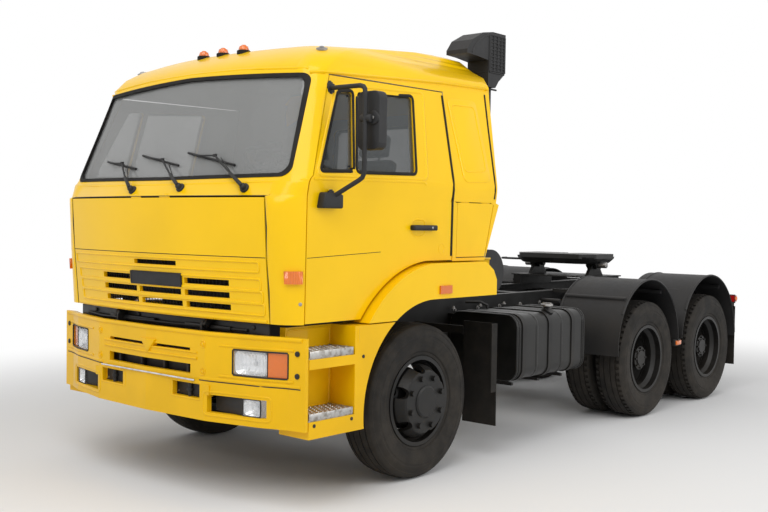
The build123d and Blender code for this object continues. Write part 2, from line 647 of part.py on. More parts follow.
def cab_shell():
    """Cab body: floor, walls, roof and pillars, with the openings for doors, glass and lids."""
    shell = cab_hull(0) - rear_cut()
    room = cab_hull(CAB_WALL) - rear_cut(CAB_WALL)
    room &= block(-1400, 1400, FIREWALL_Y, 1200, CAB_FLOOR, 3200)
    over_firewall = cab_hull(CAB_WALL) & block(-1400, 1400, -1500, FIREWALL_Y + 1, LID_TOP + 60, 3200)
    shell -= room
    shell -= over_firewall
    shell -= lid_zone(CLEARANCE, FIREWALL_Y - CAB_WALL)
    shell -= block(-LID_HALF - CLEARANCE, LID_HALF + CLEARANCE, -1250, 900, 1000, CAB_FLOOR - CAB_FLOOR_T)
    for side in (1, -1):
        arch = wheel_arch_cut(CLEARANCE, 560)
        door = prism_x(door_outline(CLEARANCE), 880, 1400)
        flap = prism_x(flap_outline(FLAP_GAP), 1100, 1400)
        low_side = block(560, 1400, -1100, 900, 1000, CAB_FLOOR - CAB_FLOOR_T)
        for cut in (arch & block(0, 1400, -2000, 2000, 0, CAB_FLOOR - CAB_FLOOR_T), door, flap, low_side):
            shell -= cut if side > 0 else mirrored(cut)
        band = wheel_arch_cut(CLEARANCE, FLARE_IN)
        shell -= band if side > 0 else mirrored(band)
        sill = wheel_arch_cut(CLEARANCE + 14, FLARE_IN - FLARE_WALL) - wheel_arch_cut(CLEARANCE, FLARE_IN)
        sill &= block(0, FLARE_IN + 10, -760, 805, CAB_FLOOR - CAB_FLOOR_T, 2000)
        shell += sill if side > 0 else mirrored(sill)
    shell -= windscreen_prism()
    shell -= rear_window_prism()
    for side in (-1, 1):
        x0 = side * (RAIL_OUT + PIVOT_PLATE_T + 4)
        x1 = side * (RAIL_OUT + PIVOT_PLATE_T + 26)
        lug = prism_x([(TILT_PIVOT_Y - 22, TILT_PIVOT_Z), (TILT_PIVOT_Y, TILT_PIVOT_Z - 22),
                       (TILT_PIVOT_Y + 24, TILT_PIVOT_Z), (FIREWALL_Y - CAB_WALL, CAB_FLOOR - 130),
                       (FIREWALL_Y + 60, CAB_FLOOR - CAB_FLOOR_T), (FIREWALL_Y + 60, CAB_FLOOR - 20),
                       (FIREWALL_Y - CAB_WALL, CAB_FLOOR - 20), (TILT_PIVOT_Y, TILT_PIVOT_Z + 26)],
                      min(x0, x1), max(x0, x1))
        lug -= disc_x(min(x0, x1) - 5, max(x0, x1) + 5, TILT_PIVOT_Y, TILT_PIVOT_Z, PIVOT_PIN_R + SHAFT_CLEARANCE)
        shell += lug
    return shell


def flap_outline(grow=0.0):
    return [(FLAP_FRONT - grow, FLAP_BOTTOM - grow), (650 + grow, FLAP_BOTTOM - grow), (FLAP_REAR + grow, FLAP_TOP + grow),
            (FLAP_FRONT - grow, FLAP_TOP + grow)]


def skin(outer, inner):
    """The layer of the cab's wall between two depths."""
    return cab_hull(outer) - cab_hull(inner)


def door_left():
    door = skin(0, DOOR_T) & prism_x(door_outline(), 900, 1400)
    door -= wheel_arch_cut(CLEARANCE * 2, 900)
    door -= prism_x(VENT_WINDOW, 900, 1400, 22)
    door -= prism_x(MAIN_WINDOW, 900, 1400, 30)
    return door


def door_glass():
    layer = skin(GLASS_SET, GLASS_SET + GLASS_T)
    return group(layer & prism_x(VENT_WINDOW, 900, 1400, 22), layer & prism_x(MAIN_WINDOW, 900, 1400, 30))


MIRROR_X = 1400.0
MIRROR_Y = -880.0
TUBE_R = 13.0


def door_fittings():
    """Mirror on its tube arm, the arm's box on the door, and the door handle."""
    top, mid, low = 2530.0, 2330.0, 1985.0
    outside = cab_hull(-SEAT_GAP)
    arm = rod((1090, -860, top), (MIRROR_X, MIRROR_Y, top - 8), TUBE_R)
    arm += block(1050, 1116, -888, -832, top - 28, top + 28)
    arm += rod((MIRROR_X, MIRROR_Y, top - 8), (MIRROR_X, MIRROR_Y, low), TUBE_R)
    arm += Pos(MIRROR_X, MIRROR_Y, top - 8) * Sphere(TUBE_R)
    arm += Pos(MIRROR_X, MIRROR_Y, low) * Sphere(TUBE_R)
    arm += rod((MIRROR_X, MIRROR_Y, low), (1225, -960, 1870), TUBE_R)
    box = prism_x([(-1060, 1800), (-890, 1800), (-890, 1885), (-1040, 1895)], 1150, 1248, 12)
    head = prism_x([(-925, mid - 165), (-905, mid - 178), (-700, mid - 160), (-680, mid - 145), (-680, mid + 130),
                    (-700, mid + 148), (-905, mid + 165), (-925, mid + 150)], MIRROR_X - 82, MIRROR_X + 122, 10)
    head = Pos(MIRROR_X, MIRROR_Y, 0) * Rot(0, 0, -62) * Pos(-MIRROR_X, -MIRROR_Y, 0) * head
    handle = prism_x([(-190, 1672), (50, 1672), (50, 1708), (-190, 1708)], 1170, 1226, 12)
    handle -= prism_x([(-165, 1660), (10, 1660), (10, 1720), (-165, 1720)], 1160, 1208)
    return group((arm + box) - outside + head, handle - outside)


def fender_flares():
    """Flare over each front wheel, carried by the cab."""
    rear = FLARE_REAR
    inner = FLARE_IN + SEAT_GAP
    body = disc_x(inner, FLARE_OUT, FLARE_CENTRE_Y, FLARE_CENTRE_Z, FLARE_R)
    body &= block(inner, FLARE_OUT, -2000, FLARE_CENTRE_Y, FLARE_SEAM, FLARE_TOP)
    body += prism_x([(FLARE_CENTRE_Y, FLARE_SEAM), (FLARE_CENTRE_Y, FLARE_TOP), (rear - 130, FLARE_TOP),
                     (rear - 40, FLARE_TOP - 60), (rear, FLARE_TOP - 130), (rear, FLARE_SEAM)], inner, FLARE_OUT)
    body -= disc_x(FLARE_IN - 10, FLARE_OUT + 10, 0, WHEEL_Z, ARCH_R)
    body -= block(FLARE_IN - 10, FLARE_OUT + 10, 0, rear + 10, 500, FLARE_BOTTOM_REAR)
    inside = disc_x(FLARE_IN - 10, FLARE_OUT - 40, FLARE_CENTRE_Y, FLARE_CENTRE_Z, FLARE_R - 22)
    inside &= block(0, FLARE_OUT, -2000, FLARE_CENTRE_Y, 0, FLARE_TOP - 22)
    inside += block(FLARE_IN - 10, FLARE_OUT - 40, FLARE_CENTRE_Y - 1, rear - 30, 0, FLARE_TOP - 22)
    arch_skin = disc_x(FLARE_IN - 10, FLARE_OUT + 10, 0, WHEEL_Z, ARCH_R + 22)
    arch_skin += block(FLARE_IN - 10, FLARE_OUT + 10, 0, rear + 10, 500, FLARE_BOTTOM_REAR + 22)
    body -= inside - arch_skin
    return both(body)


def cab_glass():
    layer = skin(GLASS_SET, GLASS_SET + GLASS_T)
    return group(layer & windscreen_prism(-SEAL_W), layer & rear_window_prism(-SEAL_W))


def window_seals():
    """Rubber frames of the windscreen and of the rear window."""
    layer = skin(-4, 24)
    front = layer & (windscreen_prism(0) - windscreen_prism(-SEAL_W))
    back = layer & (rear_window_prism(0) - rear_window_prism(-SEAL_W))
    return group(front, back)


WIPERS = [
    # pivot_x, pivot_z, tip_dx, tip_dz
    (-560.0, 1928.0, -250.0, 190.0),
    (-40.0, 1928.0, -330.0, 200.0),
    (500.0, 1928.0, -400.0, 190.0),
]


def wipers():
    pieces = []
    for x, z, dx, dz in WIPERS:
        pivot_y = -1385.0
        tip = (x + dx * 0.72, pivot_y + 62, z + dz)
        one = rod((x, pivot_y, z), (x, pivot_y + 110, z), 17)
        one += rod((x, pivot_y, z), tip, 7)
        one += rod((tip[0] - 210, tip[1] + 4, tip[2] + 20), (tip[0] + 230, tip[1] + 4, tip[2] - 16), 8)
        pieces.append(one - cab_hull(-SEAT_GAP))
    return group(*pieces)


CORNER_LAMP_T = 16.0           # lamp on the cab's front corner, proud of the skin
CORNER_LAMP_IN = 1122.0
CORNER_LAMP_REAR = -1168.0
CORNER_LAMP_LOW, CORNER_LAMP_HIGH = 1355.0, 1430.0
FLARE_LAMP_T = 14.0
ROOF_LAMPS = [
    # x, y
    (-880.0, -640.0), (-220.0, -720.0), (0.0, -720.0), (220.0, -720.0), (880.0, -640.0),
]


def roof_height(x, y):
    """Height of the roof's skin over a point."""
    return (cab_hull(0) & block(x - 1, x + 1, y - 1, y + 1, 2000, 3200)).bounding_box().max.Z


def marker_lamps():
    """Orange lamps on the roof, the front corners and the flares."""
    pieces = []
    for x, y in ROOF_LAMPS:
        z = roof_height(x, y)
        lamp = Pos(x, y, z) * Cylinder(38, 56) + Pos(x, y, z + 24) * Sphere(37)
        pieces.append(lamp - cab_hull(-SEAT_GAP))
    corner = cab_hull(-CORNER_LAMP_T) - cab_hull(-SEAT_GAP)
    corner &= block(CORNER_LAMP_IN, 1300, -1400, CORNER_LAMP_REAR, CORNER_LAMP_LOW, CORNER_LAMP_HIGH)
    flare = block(FLARE_OUT + SEAT_GAP, FLARE_OUT + FLARE_LAMP_T, 50, 175, 1250, 1305)
    pieces += solids_of(both(group(corner, flare)))
    return group(*pieces)


def air_intake():
    """Snorkel behind the cab's left rear corner, with its hood reaching over the roof."""
    x0, x1 = 820.0, 1010.0
    head = prism_x([(640, 2985), (700, 3060), (840, 3130), (960, 3150), (1125, 3150), (1115, 2850), (1040, 2790),
                    (1000, 2740), (905, 2740), (905, 2935), (760, 2950), (640, 2955)], x0, x1)
    pipe = block(x0 + 40, x1 - 40, 870, 1000, 1560, 2745)
    arm = block(x0 + 60, x0 + 110, 832 + SEAT_GAP, 872, 2300, 2360)
    arm += block(x0 + 60, x0 + 110, 812 + SEAT_GAP, 872, 1900, 1960)
    return group(head + pipe + arm)


def seats():
    """Driver's and passenger's seats, soft."""
    pieces = []
    for side in (-1, 1):
        x = side * 560
        cushion = block(x - 240, x + 240, -480, 20, 1600, 1720)
        base = block(x - 150, x + 150, -380, -80, CAB_FLOOR, 1600)
        back = prism_x([(0, 1700), (120, 1700), (230, 2330), (130, 2340)], x - 230, x + 230, 20)
        pieces.append(cushion + base + back)
    return group(*pieces)


COLUMN_X = 560.0


def dashboard():
    """Dash across the cab, with the steering column."""
    y_front = FIREWALL_Y
    dash = prism_x([(y_front + SEAT_GAP, 1700), (y_front + 240, 1720), (y_front + 300, 1840), (y_front + 250, 1950),
                    (y_front + SEAT_GAP, 1960)], -1140, 1140)
    dash &= cab_hull(CAB_WALL + SEAT_GAP)
    column = rod((COLUMN_X, -1000, 1700), STEER_HUB, 42)
    return group(dash + column)


STEER_HUB = (COLUMN_X, -790.0, 2040.0)
STEER_NORMAL = Vector(0, 210.0, 340.0).normalized()


def steering_wheel():
    """Rim, spokes and hub on the column's end."""
    ring = Torus(235, 15)
    for angle in (90, 210, 330):
        ring += Rot(0, 0, angle) * rod((40, 0, 0), (235, 0, 0), 10)
    ring += Cylinder(60, 36)
    hub = Vector(*STEER_HUB) + STEER_NORMAL * (18 + SEAT_GAP)
    return Plane(hub, z_dir=STEER_NORMAL) * ring


GRILLE_SLOTS = [
    # z, height, x from, x to
    (1447.0, 30.0, -190.0, 246.0),
    (1343.0, 36.0, -585.0, -250.0),
    (1343.0, 36.0, 315.0, 705.0),
    (1269.0, 36.0, -575.0, -178.0),
    (1269.0, 36.0, -147.0, 280.0),
    (1269.0, 36.0, 315.0, 705.0),
    (1196.0, 36.0, -555.0, -165.0),
    (1196.0, 36.0, -127.0, 289.0),
    (1196.0, 36.0, 325.0, 710.0),
]


def front_panel():
    """Lid below the windscreen with the grille slots."""
    lid = (cab_hull(0) - cab_hull(LID_T)) & lid_zone(0, -1100)
    for z, height, x_from, x_to in GRILLE_SLOTS:
        lid -= block(x_from, x_to, -1500, -1200, z - height / 2, z + height / 2)
    bead = CLEARANCE / 2 - SEAT_GAP
    for x in (-LID_HINGE_X, LID_HINGE_X):
        lid += disc_x(x - LID_HINGE_L / 2, x + LID_HINGE_L / 2, LID_HINGE_Y, LID_TOP + CLEARANCE / 2, bead)
        lid += block(x - LID_HINGE_L / 2, x + LID_HINGE_L / 2, LID_HINGE_Y, LID_HINGE_Y + bead, LID_TOP - 4, LID_TOP + CLEARANCE / 2)
    return lid


def locker_flap():
    """Left locker flap under the sleeper window panel."""
    flap = skin(2, 2 + FLAP_T) & prism_x(flap_outline(), 1100, 1400)
    bead = FLAP_GAP / 2 - SEAT_GAP
    for y in (FLAP_FRONT + 90, FLAP_REAR - 90):
        flap += rod((FLAP_HINGE_X, y - 40, FLAP_TOP + FLAP_GAP / 2), (FLAP_HINGE_X, y + 40, FLAP_TOP + FLAP_GAP / 2), bead)
        flap += block(FLAP_HINGE_X - bead, FLAP_HINGE_X, y - 40, y + 40, FLAP_TOP - 4, FLAP_TOP + FLAP_GAP / 2)
    return flap


# ---------------------------------------------------------------------------------------------
# Bumper, steps and lamps
# ---------------------------------------------------------------------------------------------
def bumper_solid(inset, z0, z1):
    """Plan form of the bumper between two heights, moved in by inset."""
    half = BUMPER_HALF - inset
    mid = BUMPER_MID + inset
    pts = [(-half, BUMPER_REAR + (60 if inset else 0)), (-half, -1195 + inset), (-1130, -1215 + inset),
           (-960, -1282 + inset), (-560, -1372 + inset), (0, mid), (560, -1372 + inset),
           (960, -1282 + inset), (1130, -1215 + inset), (half, -1195 + inset), (half, BUMPER_REAR + (60 if inset else 0))]
    return prism_z(pts, z0, z1)


def bumper():
    """Bumper skin with its openings; a joint runs along its middle."""
    skin_ = bumper_solid(0, BUMPER_BOTTOM, BUMPER_TOP) - bumper_solid(BUMPER_SKIN, BUMPER_BOTTOM - 10, BUMPER_TOP + 10)
    skin_ -= block(-430, 430, -1500, -1300, 775, 835)
    skin_ -= block(-425, 425, -1500, -1300, 915, 935)
    for side in (-1, 1):
        skin_ -= block(side * 265, side * 515, -1500, -1200, 630, 717)
        skin_ -= block(side * 580, side * 1000, -1500, -1225, FOG_LOW, FOG_HIGH)
        skin_ -= block(side * LAMP_IN, side * LAMP_OUT, -1500, -1190, LAMP_LOW, LAMP_HIGH)
    carrier = prism_z([(-RAIL_OUT - 120, -1340), (RAIL_OUT + 120, -1340), (RAIL_OUT + 120, -1300), (-RAIL_OUT - 120, -1300)], 640, 740)
    for side in (-1, 1):
        carrier += block(side * (RAIL_OUT - 60), side * (RAIL_OUT - 20), -1300, RAIL_FRONT - SEAT_GAP, 640, 1000)
        carrier += block(side * 540, side * 600, -1372, -1330, 660, 720)
    return group(skin_ + carrier)


def front_lamps():
    """Headlamp and fog lamp lenses of both sides."""
    z0, z1 = LAMP_LOW + SEAT_GAP, LAMP_HIGH - SEAT_GAP
    lens = bumper_solid(LENS_SET, z0, z1) & block(LAMP_IN + SEAT_GAP, LAMP_SPLIT - SEAT_GAP, -1500, -1190, z0, z1)
    lens -= bumper_solid(LENS_SET + LAMP_DEPTH, z0 - 10, z1 + 10)
    z0, z1 = FOG_LOW + SEAT_GAP, FOG_HIGH - SEAT_GAP
    fog = bumper_solid(LENS_SET, z0, z1) & block(830, 960, -1500, -1200, z0, z1)
    fog -= bumper_solid(LENS_SET + LAMP_DEPTH, z0 - 10, z1 + 10)
    return both(group(lens, fog))


def indicator_lamps():
    z0, z1 = LAMP_LOW + SEAT_GAP, LAMP_HIGH - SEAT_GAP
    lens = bumper_solid(LENS_SET, z0, z1) & block(LAMP_SPLIT + SEAT_GAP, LAMP_OUT - SEAT_GAP, -1500, -1190, z0, z1)
    lens -= bumper_solid(LENS_SET + LAMP_DEPTH, z0 - 10, z1 + 10)
    return both(group(lens))


def step_panels():
    """Moulded panel behind the bumper with two steps cut into it."""
    front, back = BUMPER_REAR + CLEARANCE, -380.0
    top = FLARE_SEAM - CLEARANCE
    body = block(1000, FLARE_OUT, front, back, STEP_LOW, top)
    body -= disc_x(900, 1300, 0, WHEEL_Z, ARCH_R)
    for height, roof in zip(STEP_HEIGHTS, (860.0, top + 10)):
        body -= block(STEP_IN, 1400, front - 10, STEP_REAR, height - STEP_TREAD_T, roof)
    body -= block(990, STEP_IN - 12, front + 30, -620, STEP_LOW - 10, top + 10)
    arm = block(RAIL_OUT + PIVOT_PLATE_T + SEAT_GAP, STEP_IN - 2, -1090, -1040, 900, 960)
    return both(group(body + arm))


def step_treads():
    """Grip treads of the four steps."""
    pieces = []
    for height in STEP_HEIGHTS:
        pieces.append(block(STEP_IN + SEAT_GAP, FLARE_OUT - 8, BUMPER_REAR + CLEARANCE + 4, STEP_REAR - 6,
                            height - STEP_TREAD_T + SEAT_GAP, height))
    return both(group(*pieces))


# ---------------------------------------------------------------------------------------------
# Chassis equipment
# ---------------------------------------------------------------------------------------------
def fuel_tank():
    body = prism_y([(TANK_IN, TANK_BOTTOM), (TANK_OUT, TANK_BOTTOM), (TANK_OUT, TANK_TOP), (TANK_IN, TANK_TOP)],
                   TANK_FRONT, TANK_REAR, TANK_CORNER)
    return body


TANK_STRAPS = (1240.0, 1610.0, 1960.0)


def tank_straps():
    """Straps round the tank, their brackets to the rail, and the filler cap."""
    pieces = []
    for y in TANK_STRAPS:
        gap = SEAT_GAP
        ring = prism_y([(TANK_IN - 8, TANK_BOTTOM - 8), (TANK_OUT + 8, TANK_BOTTOM - 8), (TANK_OUT + 8, TANK_TOP + 8),
                        (TANK_IN - 8, TANK_TOP + 8)], y - 25, y + 25, TANK_CORNER + 8)
        ring -= prism_y([(TANK_IN - gap, TANK_BOTTOM - gap), (TANK_OUT + gap, TANK_BOTTOM - gap),
                         (TANK_OUT + gap, TANK_TOP + gap), (TANK_IN - gap, TANK_TOP + gap)],
                        y - 30, y + 30, TANK_CORNER + gap)
        ring += block(RAIL_OUT + SEAT_GAP, TANK_IN - 6, y - 25, y + 25, TANK_BOTTOM + 120, RAIL_TOP - 120)
        ring += prism_y([(RAIL_OUT + SEAT_GAP, 870), (RAIL_OUT + SEAT_GAP, 480), (1050, 480), (1050, 500),
                         (TANK_IN - 8, TANK_BOTTOM - 8 + 60), (TANK_IN - 8, 870)], y - 12, y + 12) - prism_y(
                             [(TANK_IN - gap, TANK_BOTTOM - gap), (TANK_OUT + gap, TANK_BOTTOM - gap),
                              (TANK_OUT + gap, TANK_TOP + gap), (TANK_IN - gap, TANK_TOP + gap)],
                             y - 30, y + 30, TANK_CORNER + gap)
        pieces.append(ring)
    cap = rod((1030, 1690, 975), (1085, 1690, 1050), 48) - prism_y(
        [(TANK_IN, TANK_BOTTOM), (TANK_OUT, TANK_BOTTOM), (TANK_OUT, TANK_TOP), (TANK_IN, TANK_TOP)],
        TANK_FRONT, TANK_REAR, TANK_CORNER)
    pieces.append(cap)
    return group(*pieces)


def battery_box():
    """Battery box on the right, with its brackets."""
    body = block(-1130, -620, 1180, 1720, 560, 960)
    body += block(-1140, -610, 1170, 1730, 940, 975)
    for y in (1250, 1650):
        body += block(-620, -RAIL_OUT - SEAT_GAP, y - 25, y + 25, 860, 930)
    return group(body)


def air_tanks():
    """Air receivers on the right, behind the battery box."""
    pieces = []
    for z in (640.0, 900.0):
        tank = disc_x(-1100, -640, 1900, z, 120)
        tank += block(-660, -RAIL_OUT - SEAT_GAP, 1860, 1940, 860, 930)
        if z < 800:
            tank += block(-700, -660, 1860, 1940, z, 930)
        pieces.append(tank)
    return group(pieces[0] + pieces[1])


def muffler():
    """Exhaust silencer on the right, with its outlet."""
    y, z, radius = 988.0, 760.0, 150.0
    body = disc_x(-1120, -560, y, z, radius)
    body += block(-600, -RAIL_OUT - SEAT_GAP, y - 40, y + 40, 860, 905)
    body += rod((-1000, y, z - 60), (-1000, y, z - 290), 45)
    return group(body)


def air_filter():
    """Round filter housing behind the cab on the left, on a bracket from the rail."""
    y, z = 925.0, 1362.0
    body = disc_x(640, 1050, y, z, 170)
    body += disc_x(700, 716, y, z, 178) + disc_x(960, 976, y, z, 178)
    body += block(RAIL_OUT - 40, RAIL_OUT + 10, 860, 990, RAIL_TOP + SEAT_GAP, 1300)
    body += block(RAIL_OUT - 40, 700, 880, 970, 1270, 1330)
    return group(body)


def fifth_wheel_base():
    """Cross plate on the rails with two pivot stands."""
    body = block(-455, 455, KINGPIN_Y - 300, KINGPIN_Y + 330, BASE_PLATE_Z - 12, BASE_PLATE_Z)
    for side in (-1, 1):
        body += block(side * 355, side * 435, KINGPIN_Y - 290, KINGPIN_Y + 320, RAIL_TOP + SEAT_GAP, BASE_PLATE_Z - 12)
        stand = prism_x([(FIFTH_PIVOT_Y - 150, BASE_PLATE_Z), (FIFTH_PIVOT_Y + 150, BASE_PLATE_Z),
                         (FIFTH_PIVOT_Y + 45, FIFTH_PIVOT_Z + 30), (FIFTH_PIVOT_Y - 45, FIFTH_PIVOT_Z + 30)],
                        side * 330 - 18, side * 330 + 18)
        body += stand
        inner, outer = side * 250, side * 400
        body += disc_x(min(inner, outer), max(inner, outer), FIFTH_PIVOT_Y, FIFTH_PIVOT_Z, FIFTH_PIVOT_R)
    return body


def fifth_wheel_plate():
    """Coupling plate with the throat, the jaw bore and sloped rear horns."""
    half, front, rear = FIFTH_HALF, FIFTH_FRONT, FIFTH_REAR
    outline = [(-half, front + 150), (-half + 110, front), (half - 110, front), (half, front + 150), (half, rear - 230),
               (half - 130, rear), (170, rear), (KINGPIN_R + 8, KINGPIN_Y + 60), (-KINGPIN_R - 8, KINGPIN_Y + 60),
               (-170, rear), (-half + 130, rear), (-half, rear - 230)]
    plate = prism_z(outline, FIFTH_TOP - FIFTH_T, FIFTH_TOP)
    plate -= prism_x([(rear - 210, FIFTH_TOP + 1), (rear + 1, FIFTH_TOP - 34), (rear + 1, FIFTH_TOP + 1)], -half - 1, half + 1)
    plate -= block(-KINGPIN_R + 1, KINGPIN_R - 1, KINGPIN_Y, KINGPIN_Y + 80, FIFTH_TOP - 200, FIFTH_TOP + 1)
    plate -= Pos(0, KINGPIN_Y, FIFTH_TOP - FIFTH_T / 2) * Cylinder(KINGPIN_R, FIFTH_T + 2)
    for side in (-1, 1):
        for x in (side * 290, side * 370):
            lug = prism_x([(FIFTH_PIVOT_Y - 90, FIFTH_TOP - FIFTH_T), (FIFTH_PIVOT_Y + 90, FIFTH_TOP - FIFTH_T),
                           (FIFTH_PIVOT_Y + 42, FIFTH_PIVOT_Z - 40), (FIFTH_PIVOT_Y - 42, FIFTH_PIVOT_Z - 40)], x - 14, x + 14)
            plate += lug - disc_x(x - 20, x + 20, FIFTH_PIVOT_Y, FIFTH_PIVOT_Z, FIFTH_PIVOT_R + SHAFT_CLEARANCE)
    return plate


def mudguards():
    """Half-round guards over the drive wheels, two on each side."""
    pieces = []
    for mid_y, radius, mid_z, front_z, rear_z in GUARDS:
        ring = disc_x(GUARD_IN, GUARD_OUT, mid_y, mid_z, radius) - disc_x(GUARD_IN - 1, GUARD_OUT + 1, mid_y, mid_z, radius - GUARD_T)
        arch = ring & block(GUARD_IN, GUARD_OUT, mid_y - radius, mid_y, front_z, 2000)
        arch += ring & block(GUARD_IN, GUARD_OUT, mid_y, mid_y + radius, rear_z, 2000)
        for y in (mid_y - radius * 0.55, mid_y + radius * 0.55):
            z = mid_z + (radius * radius - (y - mid_y) ** 2) ** 0.5
            arch += block(RAIL_OUT + SEAT_GAP, GUARD_OUT - 60, y - 16, y + 16, z - 44, z - 12)
        pieces.append(arch)
    return both(group(*pieces))


def mudflaps():
    """Rubber flaps behind the front and the rear wheels."""
    front = block(900, 1200, 800, 808, 250, 1000)
    front += block(1190, 1200, 740, 808, 500, 1000)
    front += block(RAIL_OUT + SEAT_GAP, 905, 790, 812, 900, 960)
    rear = block(640, 1220, 5140, 5148, 290, 900)
    rear += block(RAIL_OUT + SEAT_GAP, 1210, 5080, 5142, 900, 940)
    return both(group(front, rear))


def tail_lamps():
    lamp = block(900, 1210, 5148 + SEAT_GAP, 5205, 945, 1010)
    lamp += block(900, 1000, 5090, 5150, 940 + SEAT_GAP, 1000)
    return both(group(lamp))


# ---------------------------------------------------------------------------------------------
# Assembly: every node by name
# ---------------------------------------------------------------------------------------------
def place(shape):
    return Pos(0, FRONT_AXLE_Y, 0) * shape


def wheel_nodes():
    """Tyres and wheels at their places; the right ones are the left ones turned about."""
    nodes = {}
    one_tyre, rim, twin = tyre(), front_rim(), twin_rim()
    for side, turn in (("left", 0), ("right", 180)):
        face_out = Rot(0, 0, turn)
        centre = Pos((FRONT_TRACK if turn == 0 else -FRONT_TRACK) / 2, 0, WHEEL_Z) * face_out
        nodes[f"front_tyre_{side}"] = centre * one_tyre
        nodes[f"front_wheel_{side}"] = centre * rim
        for name, y in (("mid", WHEELBASE), ("rear", WHEELBASE + BOGIE_SPREAD)):
            centre = Pos((REAR_TRACK if turn == 0 else -REAR_TRACK) / 2, y, WHEEL_Z) * face_out
            nodes[f"{name}_tyres_{side}"] = group(centre * Pos(TWIN_SPACING / 2, 0, 0) * one_tyre,
                                                  centre * Pos(-TWIN_SPACING / 2, 0, 0) * one_tyre)
            nodes[f"{name}_wheel_{side}"] = centre * twin
    return nodes


def all_nodes():
    nodes = {
        "frame_rails": frame_rails(), "crossmembers": crossmembers(), "front_axle": front_axle(),
        "front_springs": front_springs(), "drive_axles": drive_axles(), "rear_suspension": rear_suspension(),
        "engine": engine(), "bumper": bumper(), "front_lamps": front_lamps(), "indicator_lamps": indicator_lamps(),
        "step_panels": step_panels(), "step_treads": step_treads(), "fuel_tank": fuel_tank(),
        "tank_straps": tank_straps(), "battery_box": battery_box(), "air_tanks": air_tanks(), "muffler": muffler(),
        "air_filter": air_filter(), "fifth_wheel_base": fifth_wheel_base(), "mudguards": mudguards(),
        "mudflaps": mudflaps(), "tail_lamps": tail_lamps(), "fifth_wheel_plate": fifth_wheel_plate(),
        "cab_shell": cab_shell(), "cab_glass": cab_glass(), "window_seals": window_seals(),
        "fender_flares": fender_flares(), "wipers": wipers(), "marker_lamps": marker_lamps(),
        "air_intake": air_intake(), "seats": seats(), "dashboard": dashboard(), "steering_wheel": steering_wheel(),
        "front_panel": front_panel(), "tie_rod": tie_rod(),
        "door_left": door_left(), "door_left_glass": door_glass(), "door_left_fittings": door_fittings(),
        "locker_flap_left": locker_flap(), "knuckle_left": knuckle(),
    }
    for name in [n for n in nodes if "left" in n]:
        nodes[name.replace("left", "right")] = mirrored(nodes[name])
    nodes.update(wheel_nodes())
    return nodes


if __name__ == "__main__":
    os.makedirs("parts", exist_ok=True)
    for node_name, node_shape in all_nodes().items():
        export_step(place(node_shape), f"parts/{node_name}.step")
        print(node_name, len(node_shape.solids()), round(node_shape.volume / 1e6, 2))
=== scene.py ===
"""Dresses a cab-over 6x4 semi truck tractor unit: finishes, small pieces, floor, lights and camera.

Lengths are metres, +Z is up, the truck faces -Y and +X is its own left side.  Pieces are drawn with Y
measured back from the front axle, and keep() moves them to their place in the frame.
"""
import json
from math import ceil, cos, pi, radians, sin, tau

import bmesh
import bpy
from mathutils import Matrix, Vector
from mathutils.bvhtree import BVHTree

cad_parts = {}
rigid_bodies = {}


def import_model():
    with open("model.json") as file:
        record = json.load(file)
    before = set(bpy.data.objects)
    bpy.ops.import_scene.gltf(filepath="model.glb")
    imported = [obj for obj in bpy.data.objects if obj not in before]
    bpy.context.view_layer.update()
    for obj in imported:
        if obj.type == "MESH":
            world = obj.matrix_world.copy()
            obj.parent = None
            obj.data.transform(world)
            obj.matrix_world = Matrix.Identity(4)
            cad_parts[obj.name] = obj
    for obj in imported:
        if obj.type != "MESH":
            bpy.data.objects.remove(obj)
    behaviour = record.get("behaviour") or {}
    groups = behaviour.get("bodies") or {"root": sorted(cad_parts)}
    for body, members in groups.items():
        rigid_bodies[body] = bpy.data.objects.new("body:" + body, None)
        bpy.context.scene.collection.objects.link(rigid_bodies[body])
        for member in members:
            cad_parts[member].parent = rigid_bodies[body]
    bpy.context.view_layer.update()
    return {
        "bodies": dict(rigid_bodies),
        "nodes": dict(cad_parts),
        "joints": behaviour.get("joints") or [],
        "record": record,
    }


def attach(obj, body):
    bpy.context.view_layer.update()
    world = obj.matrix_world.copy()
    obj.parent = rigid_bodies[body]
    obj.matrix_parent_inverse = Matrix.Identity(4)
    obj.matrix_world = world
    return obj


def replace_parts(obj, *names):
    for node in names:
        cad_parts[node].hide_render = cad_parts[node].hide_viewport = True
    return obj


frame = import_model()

bl_info = {
    "name": "Semi truck tractor unit",
    "version": (1, 0, 0),
    "blender": (4, 5, 0),
    "location": "3D View > Sidebar > Truck",
    "description": "Finishes and small pieces of a cab-over semi truck tractor unit",
    "category": "Object",
}

FRONT_AXLE = Vector((0.0, -1.885, 0.0))
NODES = frame["nodes"]
SIDES = (("left", 1), ("right", -1))


# ---- Settings ----
def paint(red, green, blue):
    """A colour written in display values of 0 to 255, as the linear one that a shader takes."""
    shares = (value / 255 for value in (red, green, blue))
    return tuple(v / 12.92 if v <= 0.04045 else ((v + 0.055) / 1.055) ** 2.4 for v in shares)


def colour_prop(name, description, rgb):
    return bpy.props.FloatVectorProperty(name=name, description=description, default=paint(*rgb), size=3,
                                         min=0.0, max=1.0, subtype="COLOR")


def length_prop(name, description, default):
    return bpy.props.FloatProperty(name=name, description=description, default=default, min=0.0,
                                   unit="LENGTH", subtype="DISTANCE")


